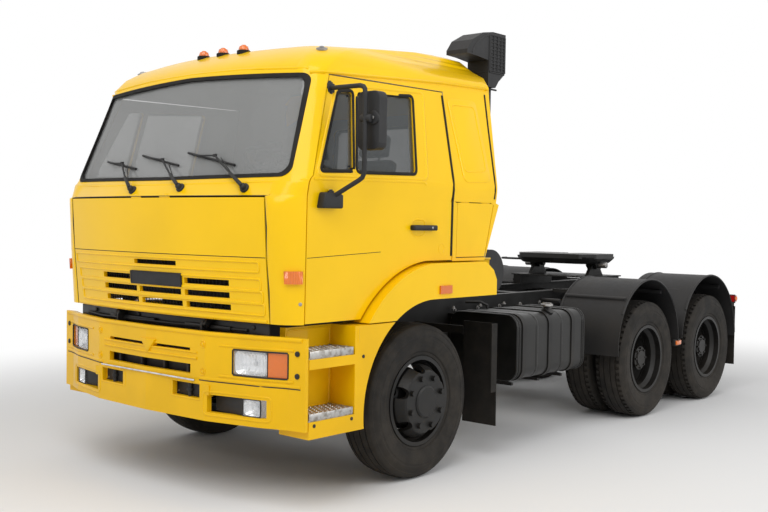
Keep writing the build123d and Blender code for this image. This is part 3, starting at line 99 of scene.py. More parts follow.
class TruckColours(bpy.types.PropertyGroup):
    """Colours that a user would change."""
    cab: colour_prop("Cab paint", "Paint of the cab, the lid and the flares", (245, 196, 0))
    bumper: colour_prop("Bumper", "Moulded bumper and step panels", (238, 186, 0))
    chassis: colour_prop("Chassis", "Paint of the frame and the axles", (22, 22, 22))
    plastic: colour_prop("Black plastic", "Mudguards, mirrors and grilles", (29, 29, 30))
    rubber: colour_prop("Rubber", "Tyres, flaps and seals", (33, 32, 31))
    wheel: colour_prop("Wheels", "Paint of the wheels", (20, 20, 20))
    tank: colour_prop("Fuel tank", "Paint of the fuel tank", (20, 20, 19))
    amber: colour_prop("Amber lens", "Indicators and markers", (240, 118, 10))
    seat: colour_prop("Seat cloth", "Woven cloth of the seats", (74, 76, 82))
    dust: colour_prop("Road dust", "Dust that lies low on the truck", (120, 108, 92))


class TruckSizes(bpy.types.PropertyGroup):
    """Sizes of the small pieces."""
    tread_depth: length_prop("Tread depth", "Depth of the tyres' grooves", 0.014)
    tread_pitches: bpy.props.IntProperty(name="Tread pitches", description="Tread blocks round a tyre",
                                         default=60, min=24, max=120)
    rib_height: length_prop("Rib height", "Height of the lid's pressed ribs", 0.007)
    blade_width: length_prop("Wiper blade", "Width of a wiper blade", 0.016)
    pillow: bpy.props.FloatProperty(name="Seat filling", description="How full the seats' pads are",
                                    default=0.8, min=0.0, max=1.0)


class TruckStage(bpy.types.PropertyGroup):
    """Floor, lights and camera."""
    sky: bpy.props.FloatProperty(name="Sky", description="Strength of the even light", default=0.5, min=0.0)
    key: bpy.props.FloatProperty(name="Key light", description="Power of the large overhead light",
                                 default=500.0, min=0.0, unit="POWER")
    floor: colour_prop("Floor", "Colour of the floor", (238, 238, 238))
    lens: bpy.props.FloatProperty(name="Lens", description="Focal length in mm on a 36 mm sensor",
                                  default=47.61)


# ---- Finishes ----
class Value:
    """One output socket of a finish; arithmetic on it adds Math nodes."""

    def __init__(self, finish, socket):
        self.finish = finish
        self.socket = socket

    def math(self, operation, *values):
        return self.finish.node("ShaderNodeMath", {"operation": operation}, *values)

    def __add__(self, other):
        return self.math("ADD", self, other)

    def __sub__(self, other):
        return self.math("SUBTRACT", self, other)

    def __rsub__(self, other):
        return self.math("SUBTRACT", other, self)

    def __mul__(self, other):
        return self.math("MULTIPLY", self, other)

    __radd__ = __add__
    __rmul__ = __mul__

    def clamped(self, low=0.0, high=1.0):
        return self.math("MINIMUM", self.math("MAXIMUM", self, low), high)

    def step(self, start, end):
        """0 at start and 1 at end, smooth between them."""
        return self.finish.node("ShaderNodeMapRange", {"interpolation_type": "SMOOTHSTEP"}, self, start, end)


class Finish:
    """A material with one Principled shader, and short ways to write what varies over its surface."""

    def __init__(self, name, colour, roughness, **fixed):
        self.material = bpy.data.materials.new(name)
        self.material.use_nodes = True
        self.tree = self.material.node_tree
        self.shader = self.tree.nodes["Principled BSDF"]
        self.set(Base_Color=(*colour, 1.0), Roughness=roughness, **fixed)

    def set(self, **sockets):
        """Sets or links the shader's sockets; an underscore stands for a space."""
        for name, value in sockets.items():
            self.feed(self.shader.inputs[name.replace("_", " ")], value)

    def feed(self, socket, value):
        if isinstance(value, Value):
            self.tree.links.new(value.socket, socket)
        else:
            socket.default_value = value

    def node(self, kind, settings=None, *inputs, out=0, **named):
        """Adds a node, sets its settings, then its sockets in order or by name."""
        made = self.tree.nodes.new(kind)
        for name, value in (settings or {}).items():
            setattr(made, name, value)
        for socket, value in zip(made.inputs, inputs):
            self.feed(socket, value)
        for name, value in named.items():
            self.feed(made.inputs[name.replace("_", " ")], value)
        return Value(self, made.outputs[out])

    def place(self, scale=(1.0, 1.0, 1.0), turn=(0.0, 0.0, 0.0), shift=(0.0, 0.0, 0.0)):
        """Object coordinates in metres, stretched, turned and moved."""
        raw = self.node("ShaderNodeTexCoord", out=3)
        return self.node("ShaderNodeMapping", None, raw, shift, turn, scale)

    def axis(self, letter, place=None):
        """One coordinate of a place."""
        return self.node("ShaderNodeSeparateXYZ", None, place or self.place(), out="XYZ".index(letter))

    def noise(self, size, detail=3.0, place=None, rough=0.5):
        """Cloudy values about 0.5, their blobs about size metres wide."""
        return self.node("ShaderNodeTexNoise", None, Vector=place or self.place(), Scale=1.0 / size,
                         Detail=detail, Roughness=rough)

    def mix(self, factor, first, second):
        """Goes from the first colour to the second as the factor goes from 0 to 1."""
        made = self.tree.nodes.new("ShaderNodeMix")
        made.data_type = "RGBA"
        for index, value in ((0, factor), (6, first), (7, second)):
            if isinstance(value, tuple) and len(value) == 3:
                value = (*value, 1.0)
            self.feed(made.inputs[index], value)
        return Value(self, made.outputs[2])

    def bump(self, height, depth, strength=1.0, under=None):
        """Raises the surface by height times depth metres."""
        named = {"Height": height, "Distance": depth, "Strength": strength}
        if under:
            named["Normal"] = under
        return self.node("ShaderNodeBump", None, **named)

    def wave(self, angle):
        """Sine of an angle, from 0 to 1."""
        return self.node("ShaderNodeMath", {"operation": "SINE"}, angle) * 0.5 + 0.5

    def facing_up(self):
        """1 where the surface faces up, 0 where it faces sideways or down."""
        normal = self.node("ShaderNodeNewGeometry", out=1)
        return self.axis("Z", normal).clamped()

    def dust(self, amount=0.5, top=1.0):
        """Mask of the dust that lies low on the truck and on what faces up."""
        low = 1.0 - self.axis("Z").step(0.0, top)
        cloud = self.noise(0.35, 5.0).step(0.35, 0.75)
        mask = (low * 0.6 + self.facing_up() * 0.25) * (cloud * 0.7 + 0.3) * amount
        return mask.clamped()


def tinted(colour, factor):
    """A lighter or darker colour."""
    return tuple(min(1.0, c * factor) for c in colour)


def cab_paint(name, colour, roughness=0.32):
    """Clear-coated body paint with faint orange peel, mottling and low dust."""
    f = Finish(name, colour, roughness, Coat_Roughness=0.08, Specular_IOR_Level=0.15)
    dusty = f.dust(0.10, 1.1)
    cloud = f.noise(0.5, 3.0)
    tone = f.mix(cloud.step(0.3, 0.7), tinted(colour, 0.965), tinted(colour, 1.02))
    f.set(Base_Color=f.mix(dusty, tone, tuple(colours().dust)),
          Roughness=f.noise(0.12, 4.0) * 0.1 + roughness - 0.05 + dusty * 0.4,
          Coat_Weight=(1.0 - dusty * 1.6).clamped() * 0.25)
    waviness = f.bump(f.noise(0.09, 2.0), 0.0008, 0.35)
    f.set(Normal=f.bump(f.noise(0.004, 2.0), 0.00012, 0.5, under=waviness))
    return f


def moulded_paint(name, colour):
    """Painted moulding, duller than the cab, with a fine grain."""
    f = Finish(name, colour, 0.42, Specular_IOR_Level=0.12)
    dusty = f.dust(0.14, 0.9)
    tone = f.mix(f.noise(0.3, 4.0).step(0.3, 0.7), tinted(colour, 0.95), tinted(colour, 1.03))
    f.set(Base_Color=f.mix(dusty, tone, tuple(colours().dust)),
          Roughness=f.noise(0.05, 3.0) * 0.14 + 0.36 + dusty * 0.3,
          Coat_Weight=(1.0 - dusty).clamped() * 0.25, Normal=f.bump(f.noise(0.0022, 2.0), 0.00018, 0.6))
    return f


def chassis_paint(name, colour, roughness=0.46, grain=0.003, depth=0.0003, dust=0.4):
    """Satin black paint over rough steel: run marks, scuffs and dust."""
    f = Finish(name, colour, roughness, Specular_IOR_Level=0.3)
    dusty = f.dust(dust, 1.2)
    scuff = f.noise(0.018, 6.0, rough=0.7).step(0.62, 0.8) * 0.35
    tone = f.mix(f.noise(0.12, 4.0).step(0.3, 0.7), tinted(colour, 0.75), tinted(colour, 1.35))
    worn = f.mix(scuff, tone, tinted(colour, 2.6))
    f.set(Base_Color=f.mix(dusty, worn, tinted(colours().dust, 0.6)),
          Roughness=f.noise(0.06, 4.0) * 0.22 + roughness - 0.1 + dusty * 0.4,
          Normal=f.bump(f.noise(grain, 3.0), depth, 0.7))
    return f


def grained_plastic(name, colour, roughness=0.55):
    """Moulded plastic with a leathery grain and a painted highlight that greys what faces up."""
    f = Finish(name, colour, roughness, Specular_IOR_Level=0.35)
    cells = f.node("ShaderNodeTexVoronoi", {"feature": "SMOOTH_F1"}, Vector=f.place(), Scale=520.0)
    dusty = f.dust(0.3, 1.3)
    tone = f.mix(f.noise(0.2, 5.0).step(0.3, 0.75), tinted(colour, 0.8), tinted(colour, 1.25))
    # painted highlight: faces that look up are lightened as if lit from above
    painted_top_highlight = f.mix(f.facing_up() * 0.35, tone, tinted(colour, 2.1))
    f.set(Base_Color=f.mix(dusty, painted_top_highlight, tinted(colours().dust, 0.7)),
          Roughness=f.noise(0.04, 4.0) * 0.16 + roughness - 0.06, Normal=f.bump(cells, 0.0004, 0.5))
    return f


def rubber(name, colour, brown=0.5):
    """Rubber with a bloom of dust and fine pores."""
    f = Finish(name, colour, 0.72, Specular_IOR_Level=0.2)
    dusty = f.dust(0.3, 1.3)
    bloom = f.noise(0.09, 5.0).step(0.3, 0.8) * brown
    greyed = tuple(c * 1.2 + d * 0.12 for c, d in zip(colour, colours().dust))
    tone = f.mix(bloom, tinted(colour, 0.8), greyed)
    pores = f.noise(0.0016, 3.0) + f.noise(0.02, 4.0) * 0.6
    f.set(Base_Color=f.mix(dusty, tone, tinted(colours().dust, 0.55)),
          Roughness=f.noise(0.03, 4.0) * 0.2 + 0.62, Normal=f.bump(pores, 0.0005, 0.55))
    return f


def clear_glass(name, tint, alpha, roughness=0.03):
    """Thin pane that shows what is behind it, with a film of dust near its edges."""
    f = Finish(name, tint, roughness, IOR=1.5, Specular_IOR_Level=0.6)
    film = f.noise(0.25, 5.0).step(0.3, 0.8)
    f.set(Alpha=film * 0.05 + alpha, Roughness=film * 0.06 + roughness)
    return f


def lens(name, colour, ribs, alpha=0.72, cross=0.0):
    """Moulded lens with upright ribs."""
    f = Finish(name, colour, 0.12, IOR=1.49)
    across = f.axis("X") * (tau / ribs)
    wave = f.wave(across)
    height = wave if not cross else wave + f.wave(f.axis("Z") * (tau / cross))
    cloud = wave * 0.3 + f.noise(0.02, 2.0) * 0.25
    f.set(Base_Color=f.mix(cloud, tinted(colour, 0.75), tinted(colour, 1.25)), Coat_Weight=wave * 0.2 + 0.6,
          Roughness=wave * 0.1 + 0.08, Alpha=wave * 0.06 + alpha,
          Normal=f.bump(height, 0.0012, 0.6))
    return f


def bright_metal(name, colour, roughness=0.22, brushed=0.0):
    """Plated or polished metal with faint streaks."""
    f = Finish(name, colour, roughness)
    streak = f.noise(0.01, 4.0, f.place((1.0, 1.0, 14.0)) if brushed else None)
    f.set(Metallic=f.noise(0.05, 3.0) * 0.1 + 0.92, Roughness=streak * 0.22 + roughness - 0.08,
          Base_Color=f.mix(f.noise(0.06, 5.0).step(0.35, 0.8), colour, tinted(colour, 0.7)),
          Normal=f.bump(streak, 0.0002, 0.5 if brushed else 0.2))
    return f


def grip_metal(name, colour):
    """Worn grip plate of the steps, dirt in its hollows."""
    f = Finish(name, colour, 0.45)
    dirt = f.noise(0.03, 5.0).step(0.4, 0.7)
    f.set(Metallic=(0.9 - dirt * 0.6), Roughness=dirt * 0.35 + 0.34,
          Base_Color=f.mix(dirt * 0.7, colour, tinted(colours().dust, 0.8)),
          Normal=f.bump(f.noise(0.004, 3.0), 0.0005, 0.6))
    return f


def leaf_steel(name, colour, leaf=0.014):
    """Stacked spring leaves: a dark joint between every two."""
    f = chassis_paint(name, colour, 0.5)
    bands = {"wave_type": "BANDS", "bands_direction": "Z", "wave_profile": "SAW"}
    saw = f.node("ShaderNodeTexWave", bands, Vector=f.place(), Scale=0.05 / leaf, Distortion=0.0)
    joint = saw.step(0.86, 0.98)
    f.set(Normal=f.bump(joint * -1.0, 0.004, 0.9))
    return f


def cloth(name, colour):
    """Woven seat cloth with a fine check and lint."""
    f = Finish(name, colour, 0.9, Sheen_Weight=0.35, Sheen_Roughness=0.5)
    warp = f.wave(f.axis("X") * (tau / 0.0022))
    weft = f.wave((f.axis("Y") + f.axis("Z")) * (tau / 0.0022))
    fleck = f.noise(0.006, 2.0).step(0.45, 0.65)
    f.set(Base_Color=f.mix(warp * weft * 0.6 + fleck * 0.3, tinted(colour, 0.7), tinted(colour, 1.5)),
          Roughness=fleck * 0.1 + 0.82, Normal=f.bump(warp * weft, 0.0006, 0.7))
    return f


def headlamp_reflector(name):
    """Silvered bowl with stepped mirrors behind the clear lens."""
    f = Finish(name, (0.82, 0.84, 0.86), 0.16)
    facet = f.node("ShaderNodeTexVoronoi", {"feature": "F1", "distance": "CHEBYCHEV"},
                   Vector=f.place((1.0, 0.4, 0.6)), Scale=42.0, Randomness=0.25)
    f.set(Metallic=facet * 0.1 + 0.9, Roughness=facet * 0.3 + 0.08, Normal=f.bump(facet, 0.006, 0.8),
          Base_Color=f.mix(facet.step(0.2, 0.9), (0.9, 0.91, 0.92), (0.45, 0.46, 0.48)))
    return f


def reflector_red(name, colour):
    """Prismatic reflector."""
    f = Finish(name, colour, 0.15, Specular_IOR_Level=0.7)
    prism = f.node("ShaderNodeTexVoronoi", {"feature": "F1"}, Vector=f.place(), Scale=240.0, Randomness=0.0)
    f.set(Base_Color=f.mix(prism.step(0.1, 0.8), tinted(colour, 1.3), tinted(colour, 0.55)),
          Coat_Weight=prism * 0.2 + 0.7, Roughness=prism * 0.12 + 0.08, Normal=f.bump(prism, 0.0015, 0.6))
    return f


def colours():
    """The colours of this truck."""
    return bpy.context.scene.truck_colours


def sizes():
    """The sizes of its small pieces."""
    return bpy.context.scene.truck_sizes


FINISHES = {}


def finish(name):
    """The named finish; mixed on first use."""
    if name not in FINISHES:
        c = colours()
        makers = {
            "cab_yellow": (cab_paint, c.cab),
            "bumper_yellow": (moulded_paint, c.bumper),
            "chassis_black": (chassis_paint, c.chassis),
            "plate_grey": (chassis_paint, tinted(c.chassis, 1.7), 0.38, 0.006, 0.0005),
            "engine_grey": (chassis_paint, tinted(c.chassis, 2.6), 0.5, 0.008, 0.0008),
            "wheel_black": (chassis_paint, c.wheel, 0.4, 0.0035, 0.0002, 0.22),
            "tyre_black": (rubber, c.rubber, 0.6),
            "tank_black": (chassis_paint, c.tank, 0.34, 0.004, 0.00015, 0.12),
            "silencer": (chassis_paint, tinted(c.chassis, 1.5), 0.6, 0.006, 0.0006),
            "leaf_steel": (leaf_steel, c.chassis),
            "black_plastic": (grained_plastic, c.plastic),
            # also the colour of the painted shadow line over the lid and the painted shade line in the door
            # crease
            "black_rubber": (rubber, tinted(c.rubber, 0.7), 0.3),
            "cab_window": (clear_glass, (0.33, 0.335, 0.33), 0.46),
            "door_window": (clear_glass, (0.07, 0.078, 0.08), 0.50),
            "lamp_clear": (lens, (0.86, 0.88, 0.90), 0.009, 0.30, 0.03),
            "lamp_orange": (lens, c.amber, 0.006, 0.94),
            "lamp_red": (reflector_red, paint(190, 14, 12)),
            "step_metal": (grip_metal, (0.50, 0.49, 0.47)),
            "bright_metal": (bright_metal, (0.72, 0.72, 0.73), 0.2),
            "dull_metal": (bright_metal, (0.36, 0.35, 0.34), 0.42, 1.0),
            "mirror_glass": (bright_metal, (0.80, 0.83, 0.86), 0.05),
            "reflector": (headlamp_reflector,),
            "seat_cloth": (cloth, c.seat),
            "trim_cloth": (cloth, paint(168, 164, 155)),
            "dash_plastic": (grained_plastic, paint(52, 53, 56), 0.62),
        }
        maker, *measures = makers[name]
        FINISHES[name] = maker(name, *measures)
    return FINISHES[name].material


CAD_FINISHES = {
    "cab_yellow": ("cab_shell", "door_left", "door_right", "front_panel", "locker_flap_left",
                   "locker_flap_right", "fender_flares"),
    "bumper_yellow": ("bumper", "step_panels"),
    "chassis_black": ("frame_rails", "crossmembers", "front_axle", "drive_axles", "knuckle_left",
                      "knuckle_right", "tie_rod", "tank_straps", "battery_box", "air_tanks",
                      "fifth_wheel_base"),
    "leaf_steel": ("front_springs", "rear_suspension"),
    "plate_grey": ("fifth_wheel_plate",),
    "engine_grey": ("engine",),
    "silencer": ("muffler",),
    "tank_black": ("fuel_tank",),
    "wheel_black": tuple(f"{row}_wheel_{side}" for row in ("front", "mid", "rear") for side, _ in SIDES),
    "tyre_black": tuple(f"{tyres}_{side}" for tyres in ("front_tyre", "mid_tyres", "rear_tyres")
                        for side, _ in SIDES),
    "black_plastic": ("air_intake", "air_filter", "mudguards", "door_left_fittings", "door_right_fittings"),
    "black_rubber": ("window_seals", "wipers", "mudflaps"),
    "cab_window": ("cab_glass",),
    "door_window": ("door_left_glass", "door_right_glass"),
    "lamp_clear": ("front_lamps",),
    "lamp_orange": ("indicator_lamps", "marker_lamps"),
    "lamp_red": ("tail_lamps",),
    "step_metal": ("step_treads",),
    "seat_cloth": ("seats",),
    "dash_plastic": ("dashboard", "steering_wheel"),
}


# ---- Meshes ----
def keep(name, bm, body, looks, shift=FRONT_AXLE, smooth=35.0):
    """Turns a bmesh into a piece that rides on a body, its finishes in its slots in order."""
    looks = [looks] if isinstance(looks, str) else looks
    bmesh.ops.translate(bm, verts=bm.verts, vec=shift)
    mesh = bpy.data.meshes.new(name)
    bm.to_mesh(mesh)
    bm.free()
    piece = bpy.data.objects.new(name, mesh)
    bpy.context.scene.collection.objects.link(piece)
    for look in looks:
        mesh.materials.append(finish(look))
    if smooth:
        mesh.shade_smooth()
        mesh.set_sharp_from_angle(angle=radians(smooth))
    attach(piece, body)
    return piece


WELD = 0.00002          # distance under which corners are one


def bevelled(bm, edges, width, segments=2, clamp=False):
    """Rounds edges; returns the new faces."""
    done = bmesh.ops.bevel(bm, geom=list(edges), offset=width, segments=segments, profile=0.5, affect="EDGES",
                           material=-1, clamp_overlap=clamp)
    return set(done["faces"])


def corners(faces):
    """The corners of the faces that are left."""
    return list({v for f in faces if f.is_valid for v in f.verts})


def slab(bm, low, high, bevel=0.0, segments=2):
    """A box between two corners, its edges rounded."""
    low, high = Vector(low), Vector(high)
    made = bmesh.ops.create_cube(bm, size=1.0)["verts"]
    size = Vector((abs(h - l) for h, l in zip(high, low)))
    bmesh.ops.scale(bm, verts=made, vec=size)
    bmesh.ops.translate(bm, verts=made, vec=(low + high) / 2)
    faces = {f for v in made for f in v.link_faces}
    if bevel:
        faces |= bevelled(bm, {e for v in made for e in v.link_edges}, bevel, segments)
    return corners(faces)


def between(start, end):
    """The turn and place that lay a Z-long shape between two points."""
    start, end = Vector(start), Vector(end)
    run = end - start
    turn = run.to_track_quat("Z", "Y").to_matrix().to_4x4()
    return Matrix.Translation((start + end) / 2) @ turn, run.length


def bar(bm, start, end, radius, sides=16, tip=None, bevel=0.0):
    """A round bar between two points, its ends' edges rounded."""
    place, length = between(start, end)
    made = bmesh.ops.create_cone(bm, cap_ends=True, segments=sides, radius1=radius,
                                 radius2=radius if tip is None else tip, depth=length, matrix=place)["verts"]
    faces = {f for v in made for f in v.link_faces}
    if bevel:
        faces |= bevelled(bm, {e for f in faces if len(f.verts) > 4 for e in f.edges}, bevel)
    return corners(faces)


def circle(bm, place, radius, sides):
    """A ring of corners about the Z axis of a place."""
    return bmesh.ops.create_circle(bm, cap_ends=False, segments=sides, radius=radius, matrix=place)["verts"]


def outlined(bm, places):
    """A ring of corners at places."""
    ring = [bm.verts.new(place) for place in places]
    for pair in zip(ring, ring[1:] + ring[:1]):
        bm.edges.new(pair)
    return ring


def ring_edges(ring):
    """The edges that join a ring's own corners."""
    inside = set(ring)
    return list({e for v in ring for e in v.link_edges if all(w in inside for w in e.verts)})


def joined(bm, rings, closed=False, first_open=False):
    """Bridges rings one after another; closes the ends, or joins the last ring to the first."""
    for first, second in list(zip(rings, rings[1:])) + ([(rings[-1], rings[0])] if closed else []):
        bmesh.ops.bridge_loops(bm, edges=ring_edges(first) + ring_edges(second))
    ends = [] if closed else [rings[-1]] if first_open else [rings[0], rings[-1]]
    for ring in ends:
        bmesh.ops.contextual_create(bm, geom=ring_edges(ring))
    return [v for ring in rings for v in ring]


def pipe(bm, points, radius, sides=10):
    """A round tube along points, mitred at its bends."""
    points = [Vector(p) for p in points]
    rings = []
    for index, point in enumerate(points):
        before = (point - points[index - 1]).normalized() if index else None
        after = (points[index + 1] - point).normalized() if index + 1 < len(points) else None
        along = ((before or after) + (after or before)).normalized()
        turn = along.to_track_quat("Z", "Y").to_matrix().to_4x4()
        rings.append(circle(bm, Matrix.Translation(point) @ turn, radius, sides))
    return joined(bm, rings)


def plate(bm, points, thickness, axis="X", at=0.0, bevel=0.0, segments=2):
    """An outline in the two other axes, given a thickness along an axis from a place on it."""
    spot = {"X": lambda a, b: (at, a, b), "Y": lambda a, b: (a, at, b), "Z": lambda a, b: (a, b, at)}[axis]
    verts = [bm.verts.new(spot(a, b)) for a, b in points]
    face = bm.faces.new(verts)
    grown = bmesh.ops.extrude_face_region(bm, geom=[face])
    top = [g for g in grown["geom"] if isinstance(g, bmesh.types.BMVert)]
    step = Vector({"X": (1, 0, 0), "Y": (0, 1, 0), "Z": (0, 0, 1)}[axis]) * thickness
    bmesh.ops.translate(bm, verts=top, vec=step)
    verts += top
    faces = {f for v in verts for f in v.link_faces}
    bmesh.ops.recalc_face_normals(bm, faces=list(faces))
    if bevel:
        faces |= bevelled(bm, {e for v in verts for e in v.link_edges}, bevel, segments, clamp=True)
    return corners(faces)


def rectangle(a0, a1, b0, b1):
    """Corner points of a rectangle."""
    return [(a0, b0), (a1, b0), (a1, b1), (a0, b1)]


def rounded(a0, a1, b0, b1, radius, steps=4):
    """Corner points of a rounded rectangle."""
    points = []
    for ca, cb, start in ((a1 - radius, b1 - radius, 0), (a0 + radius, b1 - radius, 90),
                          (a0 + radius, b0 + radius, 180), (a1 - radius, b0 + radius, 270)):
        for i in range(steps + 1):
            angle = radians(start + 90 * i / steps)
            points.append((ca + radius * cos(angle), cb + radius * sin(angle)))
    return points


def turned(bm, profile, steps):
    """Spins an (x, radius) profile once about the X axis."""
    verts = [bm.verts.new((x, 0.0, r)) for x, r in profile]
    edges = [bm.edges.new(pair) for pair in zip(verts, verts[1:])]
    bmesh.ops.spin(bm, geom=verts + edges, cent=(0, 0, 0), axis=(1, 0, 0), angle=tau, steps=steps,
                   use_merge=True)
    faces = {f for e in edges for f in e.link_faces}
    stack = list(faces)
    while stack:
        for e in stack.pop().edges:
            for f in e.link_faces:
                if f not in faces:
                    faces.add(f)
                    stack.append(f)
    bmesh.ops.recalc_face_normals(bm, faces=list(faces))
    return list({v for f in faces for v in f.verts})


def cad_copy(*names):
    """A merged copy of CAD nodes, with the same faces."""
    bm = bmesh.new()
    for name in names:
        bm.from_mesh(NODES[name].data)
    bmesh.ops.remove_doubles(bm, verts=bm.verts, dist=WELD)
    bmesh.ops.dissolve_degenerate(bm, edges=bm.edges, dist=WELD)
    return bm


# ---- Cab form ----
BELT = 1.871                                        # height over which the cab is changed
CAB_TOP, CAB_SIDE, CAB_REAR = 3.0, 1.26, 0.95       # what lies beyond these isn't the cab
CARRIED = (
    # z, side, flat, middle y, flat y, side y, rear y of the carried-over cab
    (1.115, 1.180, 1.000, -1.330, -1.250, -1.140, 0.812),
    (1.507, 1.185, 1.000, -1.365, -1.285, -1.140, 0.812),
    (1.860, 1.190, 1.000, -1.375, -1.305, -1.140, 0.812),
    (2.003, 1.200, 1.000, -1.330, -1.265, -1.135, 0.812),
    (2.640, 1.075, 0.920, -1.030, -0.965, -0.850, 0.830),
    (2.790, 1.040, 0.890, -0.915, -0.845, -0.735, 0.860),
    (2.880, 0.985, 0.840, -0.800, -0.735, -0.630, 0.850),
    (2.935, 0.880, 0.760, -0.640, -0.580, -0.480, 0.810),
    (2.975, 0.640, 0.560, -0.330, -0.290, -0.200, 0.700),
)
WANTED = (
    # the same of the cab as it stands on the road
    (1.115, 1.180, 1.000, -1.330, -1.268, -1.140, 0.775),
    (1.507, 1.185, 1.000, -1.365, -1.310, -1.140, 0.775),
    (1.868, 1.190, 1.000, -1.375, -1.275, -1.140, 0.775),
    (1.950, 1.200, 0.985, -1.320, -1.240, -1.130, 0.775),
    (1.990, 1.200, 0.965, -1.270, -1.210, -1.105, 0.775),
    (2.640, 1.075, 0.910, -1.040, -0.980, -0.857, 0.828),
    (2.720, 1.062, 0.900, -0.980, -0.915, -0.770, 0.838),
    (2.790, 1.020, 0.850, -0.895, -0.820, -0.640, 0.830),
    (2.840, 0.938, 0.710, -0.800, -0.720, -0.430, 0.800),
    (2.880, 0.895, 0.710, -0.430, -0.340, -0.100, 0.780),
    (2.915, 0.860, 0.700, 0.060, 0.110, 0.230, 0.750),
    (2.940, 0.790, 0.660, 0.400, 0.440, 0.510, 0.690),
)
HEIGHTS = ((1.115, 1.115), (1.507, 1.507), (BELT, BELT), (1.965, 1.950), (2.003, 1.990), (2.640, 2.640),
           (2.715, 2.720), (2.790, 2.790), (2.880, 2.840), (2.935, 2.880), (2.957, 2.915), (2.975, 2.940))
CAB_NODES = ("cab_shell", "cab_glass", "window_seals", "door_left", "door_right", "door_left_glass",
             "door_right_glass", "locker_flap_left", "locker_flap_right")
# the Y of the door window's edges, before and after, at its foot and at its head
WINDOW_LOW = ((-1.134, -1.110), (-0.985, -1.030), (-0.715, -0.745), (-0.655, -0.714), (-0.098, -0.143),
              (0.262, 0.262))
WINDOW_HIGH = ((-0.848, -0.868), (-0.815, -0.795), (-0.655, -0.662), (-0.598, -0.621), (-0.052, -0.074),
               (0.262, 0.262))
WINDOW_FOOT, WINDOW_RISE, WINDOW_TOP = 2.03, 0.50, 2.66


def ramp(value, length):
    """The share of a length that a value has covered."""
    return min(max(value / length, 0.0), 1.0)


def mixed(first, second, share):
    """Numbers part of the way from the first ones to the second ones."""
    return [a + (b - a) * share for a, b in zip(first, second)]


def row_at(rows, z):
    """The measures of a cab table at a height."""
    z = min(max(z, rows[0][0]), rows[-1][0])
    for low, high in zip(rows, rows[1:]):
        if z <= high[0]:
            return mixed(low, high, (z - low[0]) / (high[0] - low[0]))
    return list(rows[-1])


def stretched(value, pairs):
    """A value moved with the pairs of old and new values that it lies between."""
    if value <= pairs[0][0]:
        return value + pairs[0][1] - pairs[0][0]
    for (a, c), (b, d) in zip(pairs, pairs[1:]):
        if value <= b:
            return c + (value - a) * (d - c) / (b - a)
    return value + pairs[-1][1] - pairs[-1][0]


def reshaped(spot):
    """Where a point of the carried-over cab goes; Y is measured from the front axle."""
    x, y, z = spot
    if z <= BELT or z > CAB_TOP or abs(x) > CAB_SIDE or y > CAB_REAR:
        return spot
    height = stretched(z, HEIGHTS)
    _, side, flat, middle, shoulder, edge, rear = row_at(CARRIED, z)
    _, side_b, flat_b, middle_b, shoulder_b, edge_b, rear_b = row_at(WANTED, height)
    across = abs(x)
    if across <= flat:
        share = across / flat
        front, front_b = mixed((middle, middle_b), (shoulder, shoulder_b), share * share)
        across *= flat_b / flat
    else:
        share = (across - flat) / (side - flat)
        front, front_b = mixed((shoulder, shoulder_b), (edge, edge_b), min(share, 1.0) ** 1.7)
        across = flat_b + share * (side_b - flat_b)
    moved = stretched(y, [(front, front_b), (rear, rear_b)])
    if z < WINDOW_TOP:
        up = ramp(z - WINDOW_FOOT, WINDOW_RISE)
        pairs = [mixed(low, high, up) for low, high in zip(WINDOW_LOW, WINDOW_HIGH)] + [(rear, rear_b)]
        near = ramp(abs(x) - 0.99, 0.06) * ramp(WINDOW_TOP - z, 0.04)
        near *= ramp(z - BELT, 0.12) * ramp(y - front, 0.10)
        moved += (stretched(y, pairs) - moved) * near
    # the head of the windscreen goes up, most of all in its middle
    glass = (1.0 - ramp(y - front, 0.12)) * ramp(z - 2.45, 0.15)
    height += glass * ramp(2.79 - z, 0.15) * (0.036 - 0.020 * min(1.0, (across / 1.035) ** 2))
    return Vector((across if x > 0 else -across, moved, height))


def cab_copy(*names):
    """A copy of CAD nodes of the cab, reshaped."""
    bm = cad_copy(*names)
    bmesh.ops.translate(bm, verts=bm.verts, vec=-FRONT_AXLE)
    for old, _ in HEIGHTS[2:-1]:
        bmesh.ops.bisect_plane(bm, geom=list(bm.verts) + list(bm.edges) + list(bm.faces), dist=0.0004,
                               plane_co=(0.0, 0.0, old), plane_no=(0.0, 0.0, 1.0))
    for v in bm.verts:
        v.co = reshaped(v.co.copy())
    bmesh.ops.translate(bm, verts=bm.verts, vec=FRONT_AXLE)
    bmesh.ops.remove_doubles(bm, verts=bm.verts, dist=WELD)
    return bm


# ---- Pieces laid on panels ----
# where each view looks to
FRONT, REAR, LEFT, RIGHT, TOP = (
    Vector(v) for v in ((0, 1, 0), (0, -1, 0), (-1, 0, 0), (1, 0, 0), (0, 0, -1)))
FAR = 6.0               # from where a view looks


